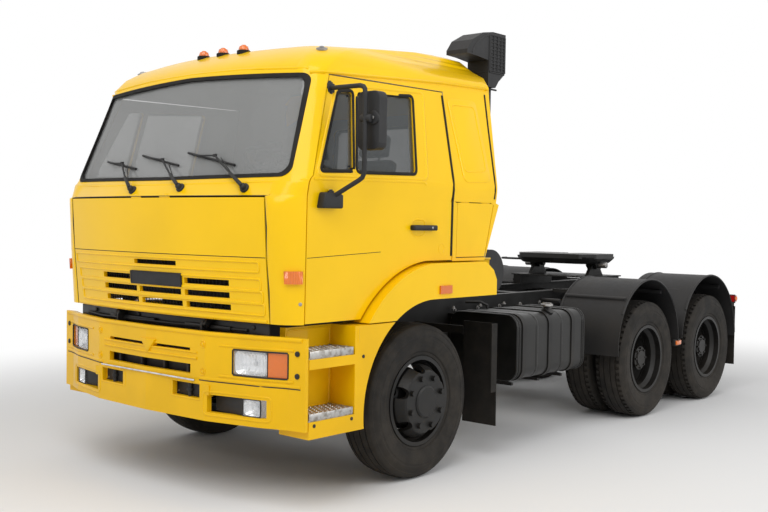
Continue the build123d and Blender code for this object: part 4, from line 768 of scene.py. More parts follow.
class Skin:
    """The outside of CAD nodes, met by looking at it along one of the views above."""

    def __init__(self, *names):
        bm = (cab_copy if any(name in CAB_NODES for name in names) else cad_copy)(*names)
        bmesh.ops.translate(bm, verts=bm.verts, vec=-FRONT_AXLE)
        self.tree = BVHTree.FromBMesh(bm)
        bm.free()

    def at(self, view, a, b):
        """Place and normal under two measures across the view."""
        point = Vector((0, a, b)) if view.x else Vector((a, 0, b)) if view.y else Vector((a, b, 0))
        spot, normal, *_ = self.tree.ray_cast(point - view * FAR, view)
        if spot is None:
            raise RuntimeError(f"no panel is met at {a:.3f}, {b:.3f}")
        return spot, (normal if normal.dot(view) < 0 else -normal)

    def around(self, centre, first, second, count, radius=0.0):
        """Places round a centre in the plane of two directions; with a radius, the longest run near it."""
        runs = [[]]
        for i in range(count + (1 if radius else 0)):
            angle = (pi if radius else tau) * i / count
            ray = first * cos(angle) + second * sin(angle)
            spot, normal, *_ = self.tree.ray_cast(centre + ray * 1.4, -ray)
            if spot is not None and (not radius or abs((spot - centre).length - radius) < 0.03):
                runs[-1].append((spot, normal if normal.dot(ray) > 0 else -normal))
            else:
                runs.append([])
        return max(runs, key=len)

    def along(self, view, outline, step=0.05, closed=False):
        """Places and normals along an outline, a step or less apart."""
        return walked(lambda a, b: self.at(view, a, b), outline, step, closed)


def walked(at, outline, step, closed):
    """What is found along an outline, a step or less apart."""
    ends = list(outline) + ([outline[0]] if closed else [])
    found = []
    for start, end in zip(ends, ends[1:]):
        start, end = Vector(start), Vector(end)
        count = max(1, ceil((end - start).length / step))
        found += [at(*start.lerp(end, i / count)) for i in range(count)]
    return found if closed else found + [at(*ends[-1])]


def eased(points, radius, steps=4):
    """A closed outline with its corners rounded."""
    made = []
    for i, corner in enumerate(points):
        corner = Vector(corner)
        before, after = Vector(points[i - 1]) - corner, Vector(points[(i + 1) % len(points)]) - corner
        run = min(radius, before.length * 0.45, after.length * 0.45)
        start, end = corner + before.normalized() * run, corner + after.normalized() * run
        for s in range(steps + 1):
            t = s / steps
            made.append(start * (1 - t) ** 2 + corner * 2 * t * (1 - t) + end * t * t)
    return made


def bead(bm, places, width, height, sides=8, lift=0.0, closed=False):
    """A rounded bead through places on a panel, half sunk in it."""
    rings = []
    count = len(places)
    for i, (spot, normal) in enumerate(places):
        before = places[i - 1][0] if i or closed else spot
        after = places[(i + 1) % count][0] if i + 1 < count or closed else spot
        along = (after - before).normalized()
        side = along.cross(normal).normalized()
        basis = Matrix((side * width / 2, normal * height, along)).transposed().to_4x4()
        rings.append(circle(bm, Matrix.Translation(spot + normal * lift) @ basis, 1.0, sides))
    return joined(bm, rings, closed)


def pad(bm, skin, view, outline, height, inset, step=0.05):
    """A pad that stands on a panel over an outline, its rim rounded."""
    places = skin.along(view, outline, step, closed=True)
    return risen(bm, places, ((-0.003, 0.0), (height * 0.6, 0.0), (height, inset)))


def risen(bm, places, levels):
    """Closed rings over places on a panel, at (lift, inset) levels."""
    middle = sum((spot for spot, _ in places), Vector()) / len(places)
    rings = [outlined(bm, [spot + normal * lift + (middle - spot).normalized() * inset
                           for spot, normal in places]) for lift, inset in levels]
    return joined(bm, rings)


def knob(bm, spot, normal, radius, height, sides=12, dome=0.0, sunk=0.004):
    """A round head that stands on a panel."""
    turn = Matrix.Translation(spot - normal * sunk) @ normal.to_track_quat("Z", "Y").to_matrix().to_4x4()
    levels = ((0.0, radius), (sunk + height * 0.7, radius), (sunk + height, radius * (1 - dome) * 0.86))
    return joined(bm, [circle(bm, turn @ Matrix.Translation((0, 0, z)), r, sides) for z, r in levels])


def hexed(bm, spot, normal, radius, height, washer=0.0):
    """A hexagon head, on a washer if it has one."""
    if washer:
        knob(bm, spot, normal, washer, height * 0.2, 16)
    knob(bm, spot + normal * height * 0.15 if washer else spot, normal, radius, height, 6)


def meshes(*names):
    """New meshes under way, one for each name."""
    return [bmesh.new() for _ in names]


# ---- Wheels ----
AXLE_Z = 0.525
FRONT_X, REAR_X, TWIN_GAP = 1.015, 0.925, 0.156
AXLES = (("front", 0.0), ("mid", 3.190), ("rear", 4.510))
TREAD_COLUMNS = (-0.112, -0.082, -0.074, -0.034, -0.026, 0.026, 0.034, 0.074, 0.082, 0.112)
SIDE_WALL = [
    # distance from the middle plane, radius, from the bead to the shoulder
    (0.1085, 0.288), (0.1085, 0.3085), (0.1135, 0.3105), (0.1155, 0.317), (0.1165, 0.330), (0.1230, 0.334),
    (0.1260, 0.342), (0.1262, 0.352), (0.1330, 0.372), (0.1338, 0.376), (0.1372, 0.400), (0.1385, 0.418),
    (0.1388, 0.422), (0.1372, 0.4235), (0.1368, 0.438), (0.1385, 0.440), (0.1375, 0.452), (0.1330, 0.466),
    (0.1272, 0.478), (0.1262, 0.4825), (0.1275, 0.485), (0.1225, 0.4975), (0.1165, 0.508)]
CROWN, CROWN_DROP, TREAD_FOOT, TYRE_RADIUS = 0.5245, 0.0115, 0.505, 0.6
GROOVES, GROOVE_HALF, SHOULDER = (0.078, 0.030), 0.003, 0.084


def tyre(bm, centre, side, drive):
    """A tyre with its beads, ringed side walls, ribs and blocks, outboard towards side."""
    pitches, depth = sizes().tread_pitches, sizes().tread_depth
    half = max(TREAD_COLUMNS)
    left = [(-x, r) for x, r in SIDE_WALL]
    crown = [(x, CROWN - CROWN_DROP * (abs(x) / half) ** 2.2) for x in TREAD_COLUMNS]
    made = turned(bm, left + crown + SIDE_WALL[::-1], pitches * 2)
    faces = [f for f in {f for v in made for f in v.link_faces}
             if all(abs(v.co.x) < half + 0.001 and v.co.yz.length > TREAD_FOOT for v in f.verts)]
    grooves, sipes = [], []
    for f in faces:
        middle = f.calc_center_median()
        angle = middle.yz.angle_signed(Vector((0, 1))) % tau
        turn = int(angle / tau * pitches * 2 + 0.5 * (middle.x > 0))
        if middle.x and min(abs(abs(middle.x) - groove) for groove in GROOVES) < GROOVE_HALF:
            grooves.append(f)
        elif abs(middle.x) > SHOULDER and turn % 2 == 0 and drive:
            sipes.append(f)
    for group, share in ((grooves, 1.0), (sipes, 0.8)):
        if not group:
            continue
        bmesh.ops.inset_region(bm, faces=group, thickness=0.0012, use_even_offset=True)
        for v in corners(group):
            v.co -= Vector((0.0, v.co.y, v.co.z)).normalized() * depth * share
    verts = [v for v in bm.verts if v.co.length < TYRE_RADIUS]      # the tyres made before are off the middle
    if side < 0:
        bmesh.ops.rotate(bm, verts=verts, cent=(0, 0, 0), matrix=Matrix.Rotation(pi, 3, "Z"))
    bmesh.ops.translate(bm, verts=verts, vec=centre)


class TRUCK_OT_tyres(bpy.types.Operator):
    """Tyres with ringed side walls and tread, in place of the plain ones"""
    bl_idname = "truck.tyres"
    bl_label = "Tyres"

    def execute(self, context):
        for side, s in SIDES:
            for row, y in AXLES:
                bm = bmesh.new()
                for x in (FRONT_X,) if row == "front" else (REAR_X + TWIN_GAP, REAR_X - TWIN_GAP):
                    tyre(bm, Vector((x * s, y, AXLE_Z)), s, row != "front")
                node = f"front_tyre_{side}" if row == "front" else f"{row}_tyres_{side}"
                piece = keep(f"{row}_tread_{side}", bm, f"{row}_wheel_{side}", "tyre_black", smooth=38.0)
                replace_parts(piece, node)
        return {"FINISHED"}


# ---- Cab ----
CAB_MIDDLE = Vector((0.0, -0.2, 2.0))
ROOM_HALF = Vector((1.16, 0.98, 0.95))
BAY_HALF, BAY_REAR, BAY_TOP = 1.012, -1.10, 1.876       # of the bay behind the lid
FLOOR, UNDERSIDE = 1.30, 1.10


class TRUCK_OT_cab(bpy.types.Operator):
    """Cab body, painted outside, trimmed inside and black behind the lid"""
    bl_idname = "truck.cab"
    bl_label = "Cab body"

    def execute(self, context):
        bm = cab_copy("cab_shell")
        for f in bm.faces:
            spot = f.calc_center_median() - FRONT_AXLE
            inward = f.normal.dot(CAB_MIDDLE - spot) > 0.05
            inside = all(abs(c) < h for c, h in zip(spot - CAB_MIDDLE, ROOM_HALF))
            bay = abs(spot.x) < BAY_HALF and spot.y < BAY_REAR and spot.z < BAY_TOP
            under = spot.z < FLOOR and f.normal.z < -0.3
            f.material_index = 2 if bay or under or spot.z < UNDERSIDE else 1 if inward and inside else 0
        looks = ("cab_yellow", "trim_cloth", "chassis_black")
        piece = keep("cab_body", bm, "cab", looks, Vector(), smooth=28.0)
        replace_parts(piece, "cab_shell")
        for name in ("door_left", "door_right"):
            bm = cab_copy(name)
            for f in bm.faces:
                f.material_index = 1 if f.normal.x * (1 if "left" in name else -1) < -0.6 else 0
            piece = keep(f"{name}_body", bm, name, ("cab_yellow", "trim_cloth"), Vector(), smooth=28.0)
            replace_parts(piece, name)
        for name, body, look in (("cab_glass", "cab", "cab_window"), ("window_seals", "cab", "black_rubber"),
                                 ("door_left_glass", "door_left", "door_window"),
                                 ("door_right_glass", "door_right", "door_window"),
                                 ("locker_flap_left", "locker_flap_left", "cab_yellow"),
                                 ("locker_flap_right", "locker_flap_right", "cab_yellow")):
            piece = keep(f"{name}_fitted", cab_copy(name), body, look, Vector(), smooth=28.0)
            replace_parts(piece, name)
        return {"FINISHED"}


class TRUCK_OT_cab_trim(bpy.types.Operator):
    """Gutter, creases, roof hatch and fittings, lamp bases, sleeper panels and seals of the cab"""
    bl_idname = "truck.cab_trim"
    bl_label = "Cab trim"

    def execute(self, context):
        skin = Skin("cab_shell")
        every = Skin("cab_shell", "door_left", "door_right", "locker_flap_left", "locker_flap_right")
        yellow, black, metal = meshes("yellow", "black", "metal")
        gutter = [(-0.958, 2.62), (0.267, 2.691), (0.804, 2.706)]
        for view in (LEFT, RIGHT):
            bead(yellow, every.along(view, gutter, 0.06), 0.020, 0.013)
            end, _ = every.at(view, 0.795, 2.705)
            bar(yellow, end, end + Vector((0.016 * (1 if view is LEFT else -1), 0.012, -0.002)), 0.009, 8)
            corner = [(0.772, 2.66), (0.760, 2.40), (0.752, 2.10), (0.748, 1.90)]
            bead(black, skin.along(view, corner, 0.08), 0.016, 0.006)
            belt = [(-1.17, 1.965), (-1.14, 1.9655)]
            bead(yellow, skin.along(view, belt), 0.016, 0.004)
            upper = eased([(0.30, 2.59), (0.64, 2.60), (0.70, 2.02), (0.38, 2.005)], 0.055)
            pad(yellow, skin, view, upper, 0.006, 0.010)
            inner = eased([(0.335, 2.545), (0.610, 2.552), (0.655, 2.095), (0.395, 2.080)], 0.040)
            bead(yellow, skin.along(view, inner, 0.06, closed=True), 0.010, 0.004, lift=0.006, closed=True)
            spot, normal = skin.at(view, -1.165, 1.237)
            knob(metal, spot, normal, 0.011, 0.002, 12)
        front = [(-1.0, 2.648), (-0.5, 2.676), (0.0, 2.684), (0.5, 2.676), (1.0, 2.648)]
        bead(yellow, skin.along(FRONT, front, 0.08), 0.016, 0.006)
        creases = [(-1.12, 1.958), (-0.6, 1.948), (0.0, 1.945), (0.6, 1.948), (1.12, 1.958)]
        bead(yellow, skin.along(FRONT, creases, 0.08), 0.018, 0.003)
        hatch = eased(rectangle(-0.42, 0.42, -0.42, 0.36), 0.10)
        pad(yellow, skin, TOP, hatch, 0.030, 0.020, step=0.12)
        rim = eased(rectangle(-0.46, 0.46, -0.46, 0.40), 0.12)
        bead(yellow, skin.along(TOP, rim, 0.10, closed=True), 0.020, 0.006, closed=True)
        for x in (-0.93, 0.93):
            spot, normal = skin.at(TOP, x, -0.77)
            knob(metal, spot, normal, 0.036, 0.012, 20, dome=0.3)
            knob(metal, spot + normal * 0.012, normal, 0.015, 0.008, 12, dome=0.4)
        lamps = cad_copy("marker_lamps")
        high = [v for v in lamps.verts if v.co.z > 2.6]
        bmesh.ops.delete(lamps, geom=high, context="VERTS")
        bmesh.ops.translate(lamps, verts=lamps.verts, vec=-FRONT_AXLE)
        for x in (-0.205, 0.0, 0.210):
            spot, _ = skin.at(TOP, x, -0.78)
            knob(black, spot, Vector((0, 0, 1)), 0.046, 0.014, 24, sunk=0.03)
            for z, low, tip in ((0.024, 0.036, 0.035), (0.040, 0.035, 0.029), (0.050, 0.029, 0.014)):
                bar(lamps, spot + Vector((0, 0, z - 0.018)), spot + Vector((0, 0, z)), low, 24, tip)
        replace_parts(keep("marker_lenses", lamps, "cab", "lamp_orange", smooth=45.0), "marker_lamps")
        for x in (-0.72, 0.72):
            for z in (2.05, 2.3, 2.55):
                bead(yellow, skin.along(REAR, [(x - 0.20, z), (x + 0.20, z)], 0.1), 0.045, 0.006)
        for z in (1.45, 1.62, 1.79):
            bead(yellow, skin.along(REAR, [(-0.75, z), (0.75, z)], 0.1), 0.06, 0.007)
        keep("roof_and_side_mouldings", yellow, "cab", "cab_yellow", smooth=45.0)
        keep("cab_rubbers", black, "cab", "black_rubber", smooth=45.0)
        keep("roof_fittings", metal, "cab", "dull_metal", smooth=45.0)
        return {"FINISHED"}


class TRUCK_OT_doors(bpy.types.Operator):
    """Window rubbers, pressed frames and creases of the doors, a painted shade line in the lower crease,
    handles, locks and mirror details
    """
    bl_idname = "truck.doors"
    bl_label = "Doors"

    def execute(self, context):
        vent = eased([(-1.030, 2.024), (-0.745, 2.039), (-0.662, 2.529), (-0.795, 2.514)], 0.030)
        main = eased([(-0.714, 2.030), (-0.143, 2.045), (-0.074, 2.559), (-0.621, 2.512)], 0.036)
        frame_line = eased([(-1.070, 1.995), (-0.03, 2.010), (0.045, 2.598), (-0.80, 2.560)], 0.045)
        for side, view in (("left", LEFT), ("right", RIGHT)):
            name = f"door_{side}"
            skin = Skin(name, f"{name}_glass")
            panel = Skin(name)
            yellow, black, metal = meshes("yellow", "black", "metal")
            for outline in (vent, main):
                middle = sum((Vector(p) for p in outline), Vector((0, 0))) / len(outline)
                grown = [Vector(p) + (Vector(p) - middle).normalized() * 0.008 for p in outline]
                bead(black, skin.along(view, grown, 0.05, closed=True), 0.022, 0.005, closed=True)
            bead(yellow, skin.along(view, frame_line, 0.06, closed=True), 0.022, 0.006, closed=True)
            belt = [(-1.095, 1.972), (-0.07, 1.992), (-0.045, 1.975)]
            bead(yellow, panel.along(view, belt, 0.08), 0.020, 0.004)
            # painted shade: a thin black line where the step of the lower door crease lies in shade
            seam = [(-1.128, 1.506), (-0.48, 1.535)]
            bead(black, panel.along(view, seam, 0.08), 0.004, 0.0015, sides=6)
            rear_edge = [(0.254, 2.60), (0.254, 2.30), (0.254, 1.95), (0.254, 1.50)]
            bead(black, panel.along(view, rear_edge, 0.1), 0.020, 0.008)
            lock = [(0.143 + 0.029 * cos(a * tau / 20), 1.552 + 0.034 * sin(a * tau / 20)) for a in range(20)]
            bead(yellow, panel.along(view, lock, 0.02, closed=True), 0.005, 0.0022, sides=6, closed=True)
            dish = eased(rectangle(-0.175, -0.035, 1.635, 1.745), 0.045)
            bead(yellow, panel.along(view, dish, 0.02, closed=True), 0.012, 0.0035, closed=True)
            spot, normal = panel.at(view, 0.0, 1.691)
            knob(metal, spot + normal * 0.035, normal, 0.009, 0.004, 14)
            for y, z in ((-0.990, 2.050), (-0.765, 2.060), (-0.700, 2.500), (-0.790, 2.490)):
                spot, normal = skin.at(view, y, z)
                knob(black, spot, normal, 0.011 if z < 2.4 and y < -0.9 else 0.006, 0.006, 12)
            keep(f"{name}_mouldings", yellow, name, "cab_yellow", smooth=45.0)
            # the rubbers also hold the painted shade line of the lower crease
            keep(f"{name}_rubbers", black, name, "black_rubber", smooth=45.0)
            keep(f"{name}_lock", metal, name, "dull_metal", smooth=45.0)
        self.mirror()
        return {"FINISHED"}

    def handle(self, bm, name):
        """Adds the carried-over handle of a door."""
        bm.from_mesh(NODES[name].data)
        bmesh.ops.remove_doubles(bm, verts=bm.verts, dist=WELD)
        bmesh.ops.translate(bm, verts=bm.verts, vec=-FRONT_AXLE)
        bmesh.ops.delete(bm, geom=[v for v in bm.verts if v.co.z > 1.75], context="VERTS")

    def mirror(self):
        """The mirror on its tube by the left door; the far door has its handle only."""
        black, far, glass, metal = meshes("black", "far", "glass", "metal")
        self.handle(black, "door_left_fittings")
        self.handle(far, "door_right_fittings")
        tube = [(1.090, -0.860, 2.530), (1.355, -0.877, 2.524), (1.384, -0.879, 2.516),
                (1.397, -0.880, 2.500), (1.400, -0.880, 2.465), (1.400, -0.880, 2.040),
                (1.398, -0.881, 2.005), (1.389, -0.885, 1.982), (1.371, -0.893, 1.967),
                (1.225, -0.960, 1.870)]
        pipe(black, tube, 0.0145, 12)
        foot = [(-1.060, 1.800), (-0.890, 1.800), (-0.890, 1.885), (-1.040, 1.895)]
        plate(black, foot, 0.078, "X", 1.170, 0.010)
        slab(black, (1.062, -0.888, 2.502), (1.108, -0.832, 2.558), 0.006)
        for x, y, z in ((1.09, -0.862, 2.53), (1.215, -0.968, 1.868)):
            bar(black, (x, y, z - 0.036), (x, y, z + 0.036), 0.020, 14, bevel=0.003)
            hexed(black, Vector((x, y, z + 0.034)), Vector((0, 0, 1)), 0.011, 0.010)
            hexed(black, Vector((x, y, z - 0.034)), Vector((0, 0, -1)), 0.011, 0.010)
        bar(black, (1.362, -0.868, 2.330), (1.438, -0.868, 2.330), 0.024, 16, bevel=0.004)
        housing = rounded(1.304, 1.474, 2.149, 2.494, 0.040, 6)
        plate(black, housing, 0.074, "Y", -0.840, bevel=0.014, segments=3)
        bar(black, (1.436, -0.852, 2.335), (1.436, -0.836, 2.335), 0.040, 24, bevel=0.005)
        knob(metal, Vector((1.436, -0.852, 2.335)), Vector((0, -1, 0)), 0.010, 0.006, 12)
        plate(glass, rounded(1.314, 1.464, 2.159, 2.484, 0.030, 5), 0.003, "Y", -0.767, bevel=0.001)
        piece = keep("door_left_mirror", black, "door_left", "black_plastic", smooth=40.0)
        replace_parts(piece, "door_left_fittings")
        piece = keep("door_right_handle", far, "door_right", "black_plastic", smooth=40.0)
        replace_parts(piece, "door_right_fittings")
        keep("mirror_pane", glass, "door_left", "mirror_glass", smooth=40.0)
        keep("mirror_bolt", metal, "door_left", "dull_metal", smooth=40.0)


# ---- Lid, bumper, steps, lamps and wipers ----
LID_ROWS = (
    # x from, x to, z from, z to
    (-0.975, 0.946, 1.418, 1.478),
    (-0.930, 0.952, 1.309, 1.377),
    (-0.912, 0.962, 1.236, 1.302),
    (-0.900, 0.972, 1.163, 1.229),
)
LID_LOW, LID_HIGH = 1.150, 1.502        # heights under and over the slots


class TRUCK_OT_lid(bpy.types.Operator):
    """Pressed ribs, a painted shadow line along the gap over the lid, bare badge plate and the wire mesh of
    the lid
    """
    bl_idname = "truck.lid"
    bl_label = "Front lid"

    def execute(self, context):
        skin = Skin("front_panel", "cab_shell")
        yellow, black, mesh, badge = meshes("yellow", "black", "mesh", "badge")
        height = sizes().rib_height
        for x0, x1, z0, z1 in LID_ROWS:
            outline = eased(rectangle(x0, x1, z0, z1), 0.018)
            bead(yellow, self.laid(skin, outline, 0.06, True), 0.015, height, closed=True)
        # painted shadow: a thin black line where the gap over the lid's top edge lies in shade
        bead(black, self.laid(skin, [(-0.998, 1.504), (0.998, 1.504)], 0.07), 0.005, 0.0015, sides=6)
        bead(yellow, self.laid(skin, [(-0.985, 1.128), (0.985, 1.128)], 0.07), 0.022, 0.006)
        for index in range(43):
            x = -0.60 + index * 0.0315
            self.wire(mesh, self.laid(skin, [(x, 1.155), (x, 1.475)], 0.5), 0.034)
        for index in range(11):
            z = 1.160 + index * 0.031
            self.wire(mesh, self.laid(skin, [(-0.61, z), (0.735, z)], 0.12), 0.037)
        outline = eased(rectangle(-0.230, 0.297, 1.300, 1.387), 0.010)
        risen(badge, self.laid(skin, outline, 0.08, True),
              ((-0.012, 0.0), (0.010, 0.0), (0.014, 0.003), (0.014, 0.010), (0.0115, 0.012)))
        for x in (-0.15, 0.15):
            spot, _ = skin.at(FRONT, x, 1.880)
            low, high = spot + Vector((-0.03, -0.002, -0.012)), spot + Vector((0.03, 0.004, 0.004))
            slab(yellow, low, high, 0.001, 1)
        keep("lid_ribs", yellow, "front_panel", "cab_yellow", smooth=50.0)
        # the painted shadow line of the gap over the lid
        keep("lid_painted_shadow_gap", black, "front_panel", "black_rubber", smooth=50.0)
        keep("lid_mesh", mesh, "front_panel", "chassis_black", smooth=0.0)
        keep("bare_badge_plate", badge, "front_panel", "black_plastic", smooth=40.0)
        return {"FINISHED"}

    def wire(self, bm, places, depth):
        """A wire behind places on the lid."""
        bead(bm, [(spot + FRONT * depth, normal) for spot, normal in places], 0.005, 0.003, sides=4)

    def laid(self, skin, outline, step, closed=False):
        """Places on the lid, also over its slots: between what is met under them and over them."""
        def at(x, z):
            high, normal = skin.at(FRONT, x, LID_HIGH)
            low, _ = skin.at(FRONT, x, LID_LOW)
            return low.lerp(high, (z - LID_LOW) / (LID_HIGH - LID_LOW)), normal
        return walked(at, outline, step, closed)


class TRUCK_OT_bumper(bpy.types.Operator):
    """Seams, screws, plugs, mouldings and the step bar of the bumper, and what stands behind its openings"""
    bl_idname = "truck.bumper"
    bl_label = "Bumper"

    def execute(self, context):
        skin = Skin("bumper")
        yellow, black, metal, bright = meshes("yellow", "black", "metal", "bright")
        for s in (-1, 1):
            for z in (0.966, 0.799):
                spot, normal = skin.at(FRONT, 0.544 * s, z)
                ring = [(0.544 * s + 0.021 * cos(a * tau / 18), z + 0.021 * sin(a * tau / 18))
                        for a in range(18)]
                bead(yellow, skin.along(FRONT, ring, 0.02, closed=True), 0.006, 0.004, sides=6, closed=True)
                knob(yellow, spot, normal, 0.011, 0.005, 6, dome=0.2)
            for z in (0.952, 0.822):
                spot, normal = skin.at(FRONT, 1.193 * s, z)
                knob(black, spot, normal, 0.0165, 0.008, 18, dome=0.35)
            outer = [(0.512 * s, 0.745), (1.00 * s, 0.745), (1.215 * s, 0.745)]
            bead(black, skin.along(FRONT, outer, 0.06), 0.007, 0.0018, sides=6)
            over = [(spot + Vector((0, 0, 0.013)), normal) for spot, normal in skin.along(FRONT, outer, 0.06)]
            bead(yellow, over, 0.020, 0.005)
            for z in (0.968, 0.784):
                crease = [(0.665 * s, z), (0.98 * s, z), (1.165 * s, z)]
                bead(yellow, skin.along(FRONT, crease, 0.05), 0.016, 0.005)
            fog = eased(rectangle(0.548 * s, 1.030 * s, 0.538, 0.682), 0.035)
            bead(yellow, skin.along(FRONT, fog, 0.05, closed=True), 0.014, 0.004, closed=True)
            tow = eased(rectangle(0.240 * s, 0.524 * s, 0.622, 0.726), 0.016)
            bead(yellow, skin.along(FRONT, tow, 0.05, closed=True), 0.010, 0.003, closed=True)
            bar(black, (0.40 * s, -1.352, 0.630), (0.40 * s, -1.352, 0.718), 0.014, 16)
            bar(black, (0.40 * s, -1.352, 0.664), (0.40 * s, -1.352, 0.682), 0.022, 16, bevel=0.003)
            slab(black, (0.255 * s, -1.342, 0.632), (0.508 * s, -1.322, 0.716), 0.003)
            for x in (0.275, 0.488):
                bar(metal, (x * s, -1.344, 0.650), (x * s, -1.336, 0.650), 0.007, 6)
        lip = [(-1.225, 1.030), (-0.9, 1.030), (0.0, 1.030), (0.9, 1.030), (1.225, 1.030)]
        bead(yellow, skin.along(FRONT, lip, 0.06), 0.026, 0.007)
        slab(black, (-0.495, -1.312, 0.752), (0.495, -1.300, 0.962), 0.002)
        bar(bright, (-0.487, -1.400, 0.744), (0.497, -1.400, 0.744), 0.0065, 12, bevel=0.002)
        for x in (-0.46, 0.455):
            slab(bright, (x - 0.012, -1.402, 0.739), (x + 0.012, -1.360, 0.749), 0.002)
        for x in (-0.36, -0.12, 0.12, 0.36):
            slab(black, (x - 0.010, -1.345, 0.754), (x + 0.010, -1.312, 0.862), 0.003)
        bead(yellow, skin.along(FRONT, [(-0.49, 0.910), (0.49, 0.910)], 0.08), 0.014, 0.006)
        bead(yellow, skin.along(FRONT, [(-0.49, 0.874), (0.49, 0.874)], 0.08), 0.016, 0.008)
        self.wedge(yellow)
        keep("bumper_mouldings", yellow, "chassis", "bumper_yellow", smooth=50.0)
        keep("bumper_backing", black, "chassis", "black_plastic", smooth=40.0)
        keep("bumper_screws", metal, "chassis", "dull_metal", smooth=40.0)
        keep("step_bar", bright, "chassis", "bright_metal", smooth=40.0)
        return {"FINISHED"}

    def wedge(self, bm):
        """Plain wedge-shaped moulding across the upper opening."""
        front = outlined(bm, ((-0.050, -1.408, 0.958), (0.100, -1.408, 0.958), (0.025, -1.408, 0.872)))
        rear = outlined(bm, ((-0.062, -1.368, 0.964), (0.112, -1.368, 0.964), (0.025, -1.368, 0.858)))
        joined(bm, [front, rear])
        bevelled(bm, ring_edges(front), 0.005)


class TRUCK_OT_lamps(bpy.types.Operator):
    """Reflectors, bulbs and frames behind the lenses"""
    bl_idname = "truck.lamps"
    bl_label = "Lamps"

    def execute(self, context):
        skin = Skin("bumper", "front_lamps", "indicator_lamps")
        silver, black = meshes("silver", "black")
        for s in (-1, 1):
            for x0, x1, z0, z1, bulb in ((0.770, 0.995, 0.804, 0.946, (0.880, 0.875)),
                                         (0.836, 0.954, 0.561, 0.658, (0.895, 0.610))):
                self.bowl(silver, skin, s, x0, x1, z0, z1, bulb)
            frame = eased(rectangle(0.764 * s, 1.127 * s, 0.798, 0.951), 0.010)
            bead(black, skin.along(FRONT, frame, 0.05, closed=True), 0.010, 0.005, closed=True)
            split = [(0.998 * s, 0.804), (0.998 * s, 0.946)]
            bead(black, skin.along(FRONT, split, 0.05), 0.006, 0.003)
            fog = eased(rectangle(0.832 * s, 0.958 * s, 0.558, 0.661), 0.012)
            bead(black, skin.along(FRONT, fog, 0.05, closed=True), 0.008, 0.004, closed=True)
            slab(black, (0.584 * s, -1.300, 0.559), (0.828 * s, -1.288, 0.661), 0.002)
        keep("lamp_reflectors", silver, "chassis", "reflector", smooth=45.0)
        keep("lamp_frames", black, "chassis", "black_plastic", smooth=45.0)
        return {"FINISHED"}

    def bowl(self, bm, skin, s, x0, x1, z0, z1, bulb):
        """A dished rectangle with a bulb in its middle."""
        rings = []
        for share, depth in ((0.0, 0.006), (0.16, 0.024), (0.34, 0.034), (0.62, 0.041), (0.86, 0.044)):
            cx, cz = (x0 + x1) / 2, (z0 + z1) / 2
            hx, hz = (x1 - x0) / 2 * (1 - share), (z1 - z0) / 2 * (1 - share)
            outline = eased(rectangle(cx - hx, cx + hx, cz - hz, cz + hz), hz * 0.5 + 0.004)
            rings.append(outlined(bm, [skin.at(FRONT, x * s, z)[0] + FRONT * depth for x, z in outline]))
        joined(bm, rings, first_open=True)
        spot, _ = skin.at(FRONT, bulb[0] * s, bulb[1])
        bar(bm, spot + FRONT * 0.016, spot + FRONT * 0.044, 0.016, 14, bevel=0.004)


class TRUCK_OT_steps(bpy.types.Operator):
    """Grip plates with their teeth on the four steps, and the joint line of the step panels"""
    bl_idname = "truck.steps"
    bl_label = "Steps"

    def execute(self, context):
        metal, yellow, black = meshes("metal", "yellow", "black")
        for s in (-1, 1):
            for z in (0.590, 0.955):
                inner, outer = 1.050 * s, 1.246 * s
                slab(metal, (inner, -1.158, z), (outer, -0.790, z + 0.006), 0.002)
                for y0, y1 in ((-1.160, -1.150), (-0.798, -0.788)):
                    slab(metal, (inner, y0, z), (outer, y1, z + 0.012), 0.002)
                slab(metal, (1.238 * s, -1.160, z - 0.028), (1.250 * s, -0.788, z + 0.012), 0.003)
                for row in range(5):
                    for column in range(9):
                        y = -1.130 + column * 0.0385 + (0.019 if row % 2 else 0.0)
                        x = (1.072 + row * 0.036) * s
                        if y < -0.81:
                            bar(metal, (x, y, z + 0.005), (x, y, z + 0.012), 0.0085, 8, 0.0045)
            side = Skin("step_panels")
            view = LEFT if s > 0 else RIGHT
            bead(yellow, side.along(view, [(-0.745, 1.075), (-0.745, 0.99)], 0.05), 0.016, 0.005)
            for z0, z1 in ((0.60, 0.85), (0.965, 1.075)):
                outline = eased(rectangle(-1.150, -0.785, z0, z1), 0.03)
                bead(yellow, side.along(view, outline, 0.06, closed=True), 0.012, 0.004, closed=True)
            for y, z in ((-1.12, 0.53), (-0.80, 0.53), (-0.70, 0.90)):
                spot, normal = side.at(view, y, z)
                knob(black, spot, normal, 0.011, 0.005, 12, dome=0.3)
        keep("step_grips", metal, "chassis", "step_metal", smooth=30.0)
        keep("step_mouldings", yellow, "chassis", "bumper_yellow", smooth=50.0)
        keep("step_screws", black, "chassis", "black_plastic", smooth=40.0)
        return {"FINISHED"}


WIPERS = (
    # pivot x, z, arm end x, z, blade from x, z, to x, z
    (-0.226, 1.908, -0.500, 2.087, -0.745, 2.110, -0.345, 2.050),
    (0.266, 1.918, -0.036, 2.097, -0.308, 2.138, 0.115, 2.061),
    (0.812, 1.912, 0.469, 2.109, 0.179, 2.140, 0.637, 2.051),
)
RUBBER_PLACES = 9


